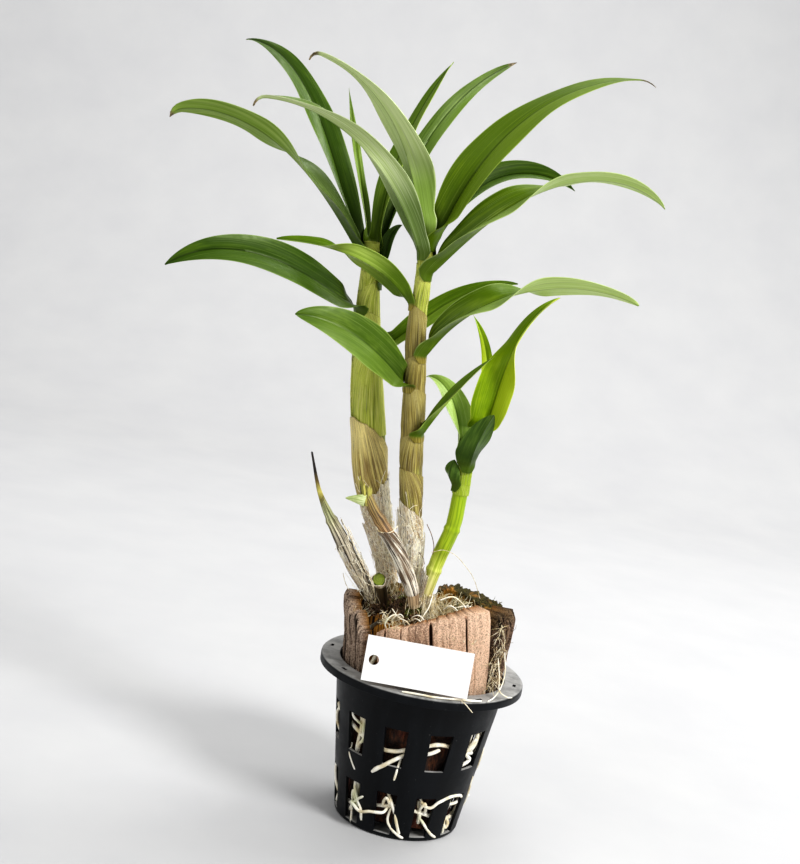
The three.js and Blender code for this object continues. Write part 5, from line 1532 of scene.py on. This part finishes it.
# Bundles of fibres: where they start and how far that is scattered, the way they point, how many,
# their length and thickness, how widely they spread, and their colour.
TUFTS = (
    ((2, -12, 108), (5, 4, 2), (0.3, -0.3, 1.0), 60, 11, 0.22, 0.5, 0),
    ((8, -10, 108), (7, 5, 1.5), (0.8, -0.2, 0.5), 90, 9, 0.28, 0.9, 0),
    ((10, -8, 110), (8, 5, 1.5), (0.4, 0.1, 0.7), 70, 5, 0.35, 1.2, 2),
    ((-12, -16, 108), (7, 6, 1.5), (0.0, -0.5, 0.5), 90, 7, 0.25, 1.1, 1),
    ((-24, -10, 104), (7, 7, 1.5), (-0.2, -0.5, 0.4), 80, 7, 0.25, 1.2, 1),
    ((-16, -25, 103), (7, 3, 1.0), (0.0, -0.5, 0.6), 50, 6, 0.25, 1.1, 0),
    ((33, -24, 96), (2.5, 3.5, 16), (-0.1, -0.2, -0.6), 110, 6, 0.14, 0.6, 0),
    ((34, -23, 98), (2.5, 3.5, 12), (-0.3, -0.3, 0.7), 90, 5, 0.2, 0.6, 1),
    ((-3, -17, 114), (3, 2, 4), (0.3, -0.5, -1.0), 110, 10, 0.15, 0.45, 0),
    ((-8, -20, 112), (4, 2, 5), (-0.1, -0.4, -1.0), 60, 8, 0.15, 0.45, 0),
    ((-25, -8, 109), (7, 5, 4), (-0.2, -0.3, 1.0), 70, 8, 0.13, 0.4, 0),
    ((-34, -12, 101), (3, 6, 2), (0.2, -0.3, 0.5), 40, 6, 0.2, 1.0, 0),
    ((22, 22, 107), (12, 10, 2.0), (0.2, 0.2, 1.0), 120, 2.6, 0.35, 1.2, 2),
    ((-20, 30, 104), (10, 5, 1.5), (-0.2, 0.3, 1.0), 60, 4, 0.35, 1.2, 1),
    ((-6, 14, 102), (14, 9, 2), (0, 0, 1.0), 90, 5, 0.3, 1.3, 1),
    ((0, -36, 103), (20, 1.5, 1.0), (-0.2, -0.2, 1.0), 50, 3, 0.16, 1.2, 0),
)
# White threads that cross the papery sheaths: heights and azimuths that they lie in, and their count.
THREADS = (
    (LEFT, 126, 160, (235, 350), 110),
    (LEFT, 112, 130, (190, 300), 40),
    (MIDDLE, 120, 156, (180, 320), 70),
    (OLD_LEFT, 108, 134, (230, 400), 40),
    (SHOOT, 105, 116, (170, 330), 60),
)
# Single hairs: thickness, colour and points in mm.
HAIRS = (
    (0.14, 0, [(-6.4, -18.5, 138), (-1, -20, 140.5), (4.7, -22, 139.6), (11, -18, 134), (16, -14, 128),
               (20.9, -10, 118)]),
    (0.2, 1, [(-10.6, -16, 150.5), (-7.6, -17, 146), (-5.6, -18, 141), (-5.4, -17.6, 137)]),
    (0.16, 1, [(-11.9, -14, 136), (-9.6, -15, 134), (-8.3, -15, 131)]),
    (0.16, 0, [(-46, 0, 116), (-44, -2, 112), (-41, -3, 108), (-38, -4, 103)]),
    (0.22, 0, [(-36, -21, 150), (-32, -27.4, 145.5), (-27, -27.2, 146), (-24, -24, 149)]),
)


def tuft(shape, draw, root, scatter, way, count, length, thick, spread, slot):
    """A bundle of thin bent fibres."""
    for _ in range(count):
        start = np.array([place + draw.uniform(-1, 1) * reach for place, reach in zip(root, scatter)])
        heading = unit(np.array([part + spread * draw.uniform(-1, 1) for part in way]))
        bow = np.array([draw.uniform(-1, 1) for _ in range(3)]) * 0.3
        long = length * draw.uniform(0.5, 1.2)
        path = spline([start + (heading * t + bow * math.sin(3 * t)) * long for t in (0, 0.35, 0.7, 1.0)], 3)
        radii = thick * draw.uniform(0.6, 1.2) * np.linspace(1, 0.4, len(path))
        shape.tube(path, radii, 4, (0, draw.uniform(0, 9), 0), slot)


def threads(shape, draw, cane, low, high, turn, count):
    """Loose threads that cross a cane at a slant, a little off its sheath."""
    t = np.linspace(-1, 1, 9)
    for _ in range(count):
        height = draw.uniform(low, high) + draw.uniform(-0.25, 0.25) * (high - low) * t
        angle = math.radians(draw.uniform(*turn)) + draw.uniform(-0.6, 0.6) * t
        angle = angle + draw.uniform(-0.2, 0.2) * np.cos(3 * t)
        height = height + draw.uniform(-1.2, 1.2) * np.sin(3 * t)
        stand = cane_radius(cane, height) + GAP + SHEATH_WALL + draw.uniform(0.3, 1.3) + 0.2 * t**2
        radii = draw.uniform(0.1, 0.19) * np.linspace(1, 0.5, len(t))
        shape.tube(on_cane(cane, height, angle, stand), radii, 4, (0, 1.0, 0), 3)


def fibre_finish(name, dark, light):
    skin = Finish(name)
    patch = skin.grain(500.0, 3.0, 0.6)
    body = skin.over(dark, light, patch, 0.35, 0.65)
    return skin.done(body, (patch, 0.6, 0.8), skin.grain(2600.0, 2.0, 0.6), 0.4, 0.1)


def make_fibres():
    draw = random.Random(17)
    shape = Shape()
    for row in TUFTS:
        tuft(shape, draw, *row)
    for row in THREADS:
        threads(shape, draw, *row)
    for thick, slot, points in HAIRS:
        path = spline(points, 6)
        shape.tube(path, np.full(len(path), thick), 5, (0, 1.0, 0), slot)
    shape.build("fibres", [fibre_finish(name, *tints) for name, tints in FIBRES.items()])


# ---------------------------------------------------------------- run

make_camera()
make_light()
make_backdrop()
make_leaves()
make_canes()
make_stub()
make_dry_sheaths()
make_flaps()
make_broken_top()
make_husk()
make_fill()
make_pot()
make_tag()
make_roots()
make_fibres()
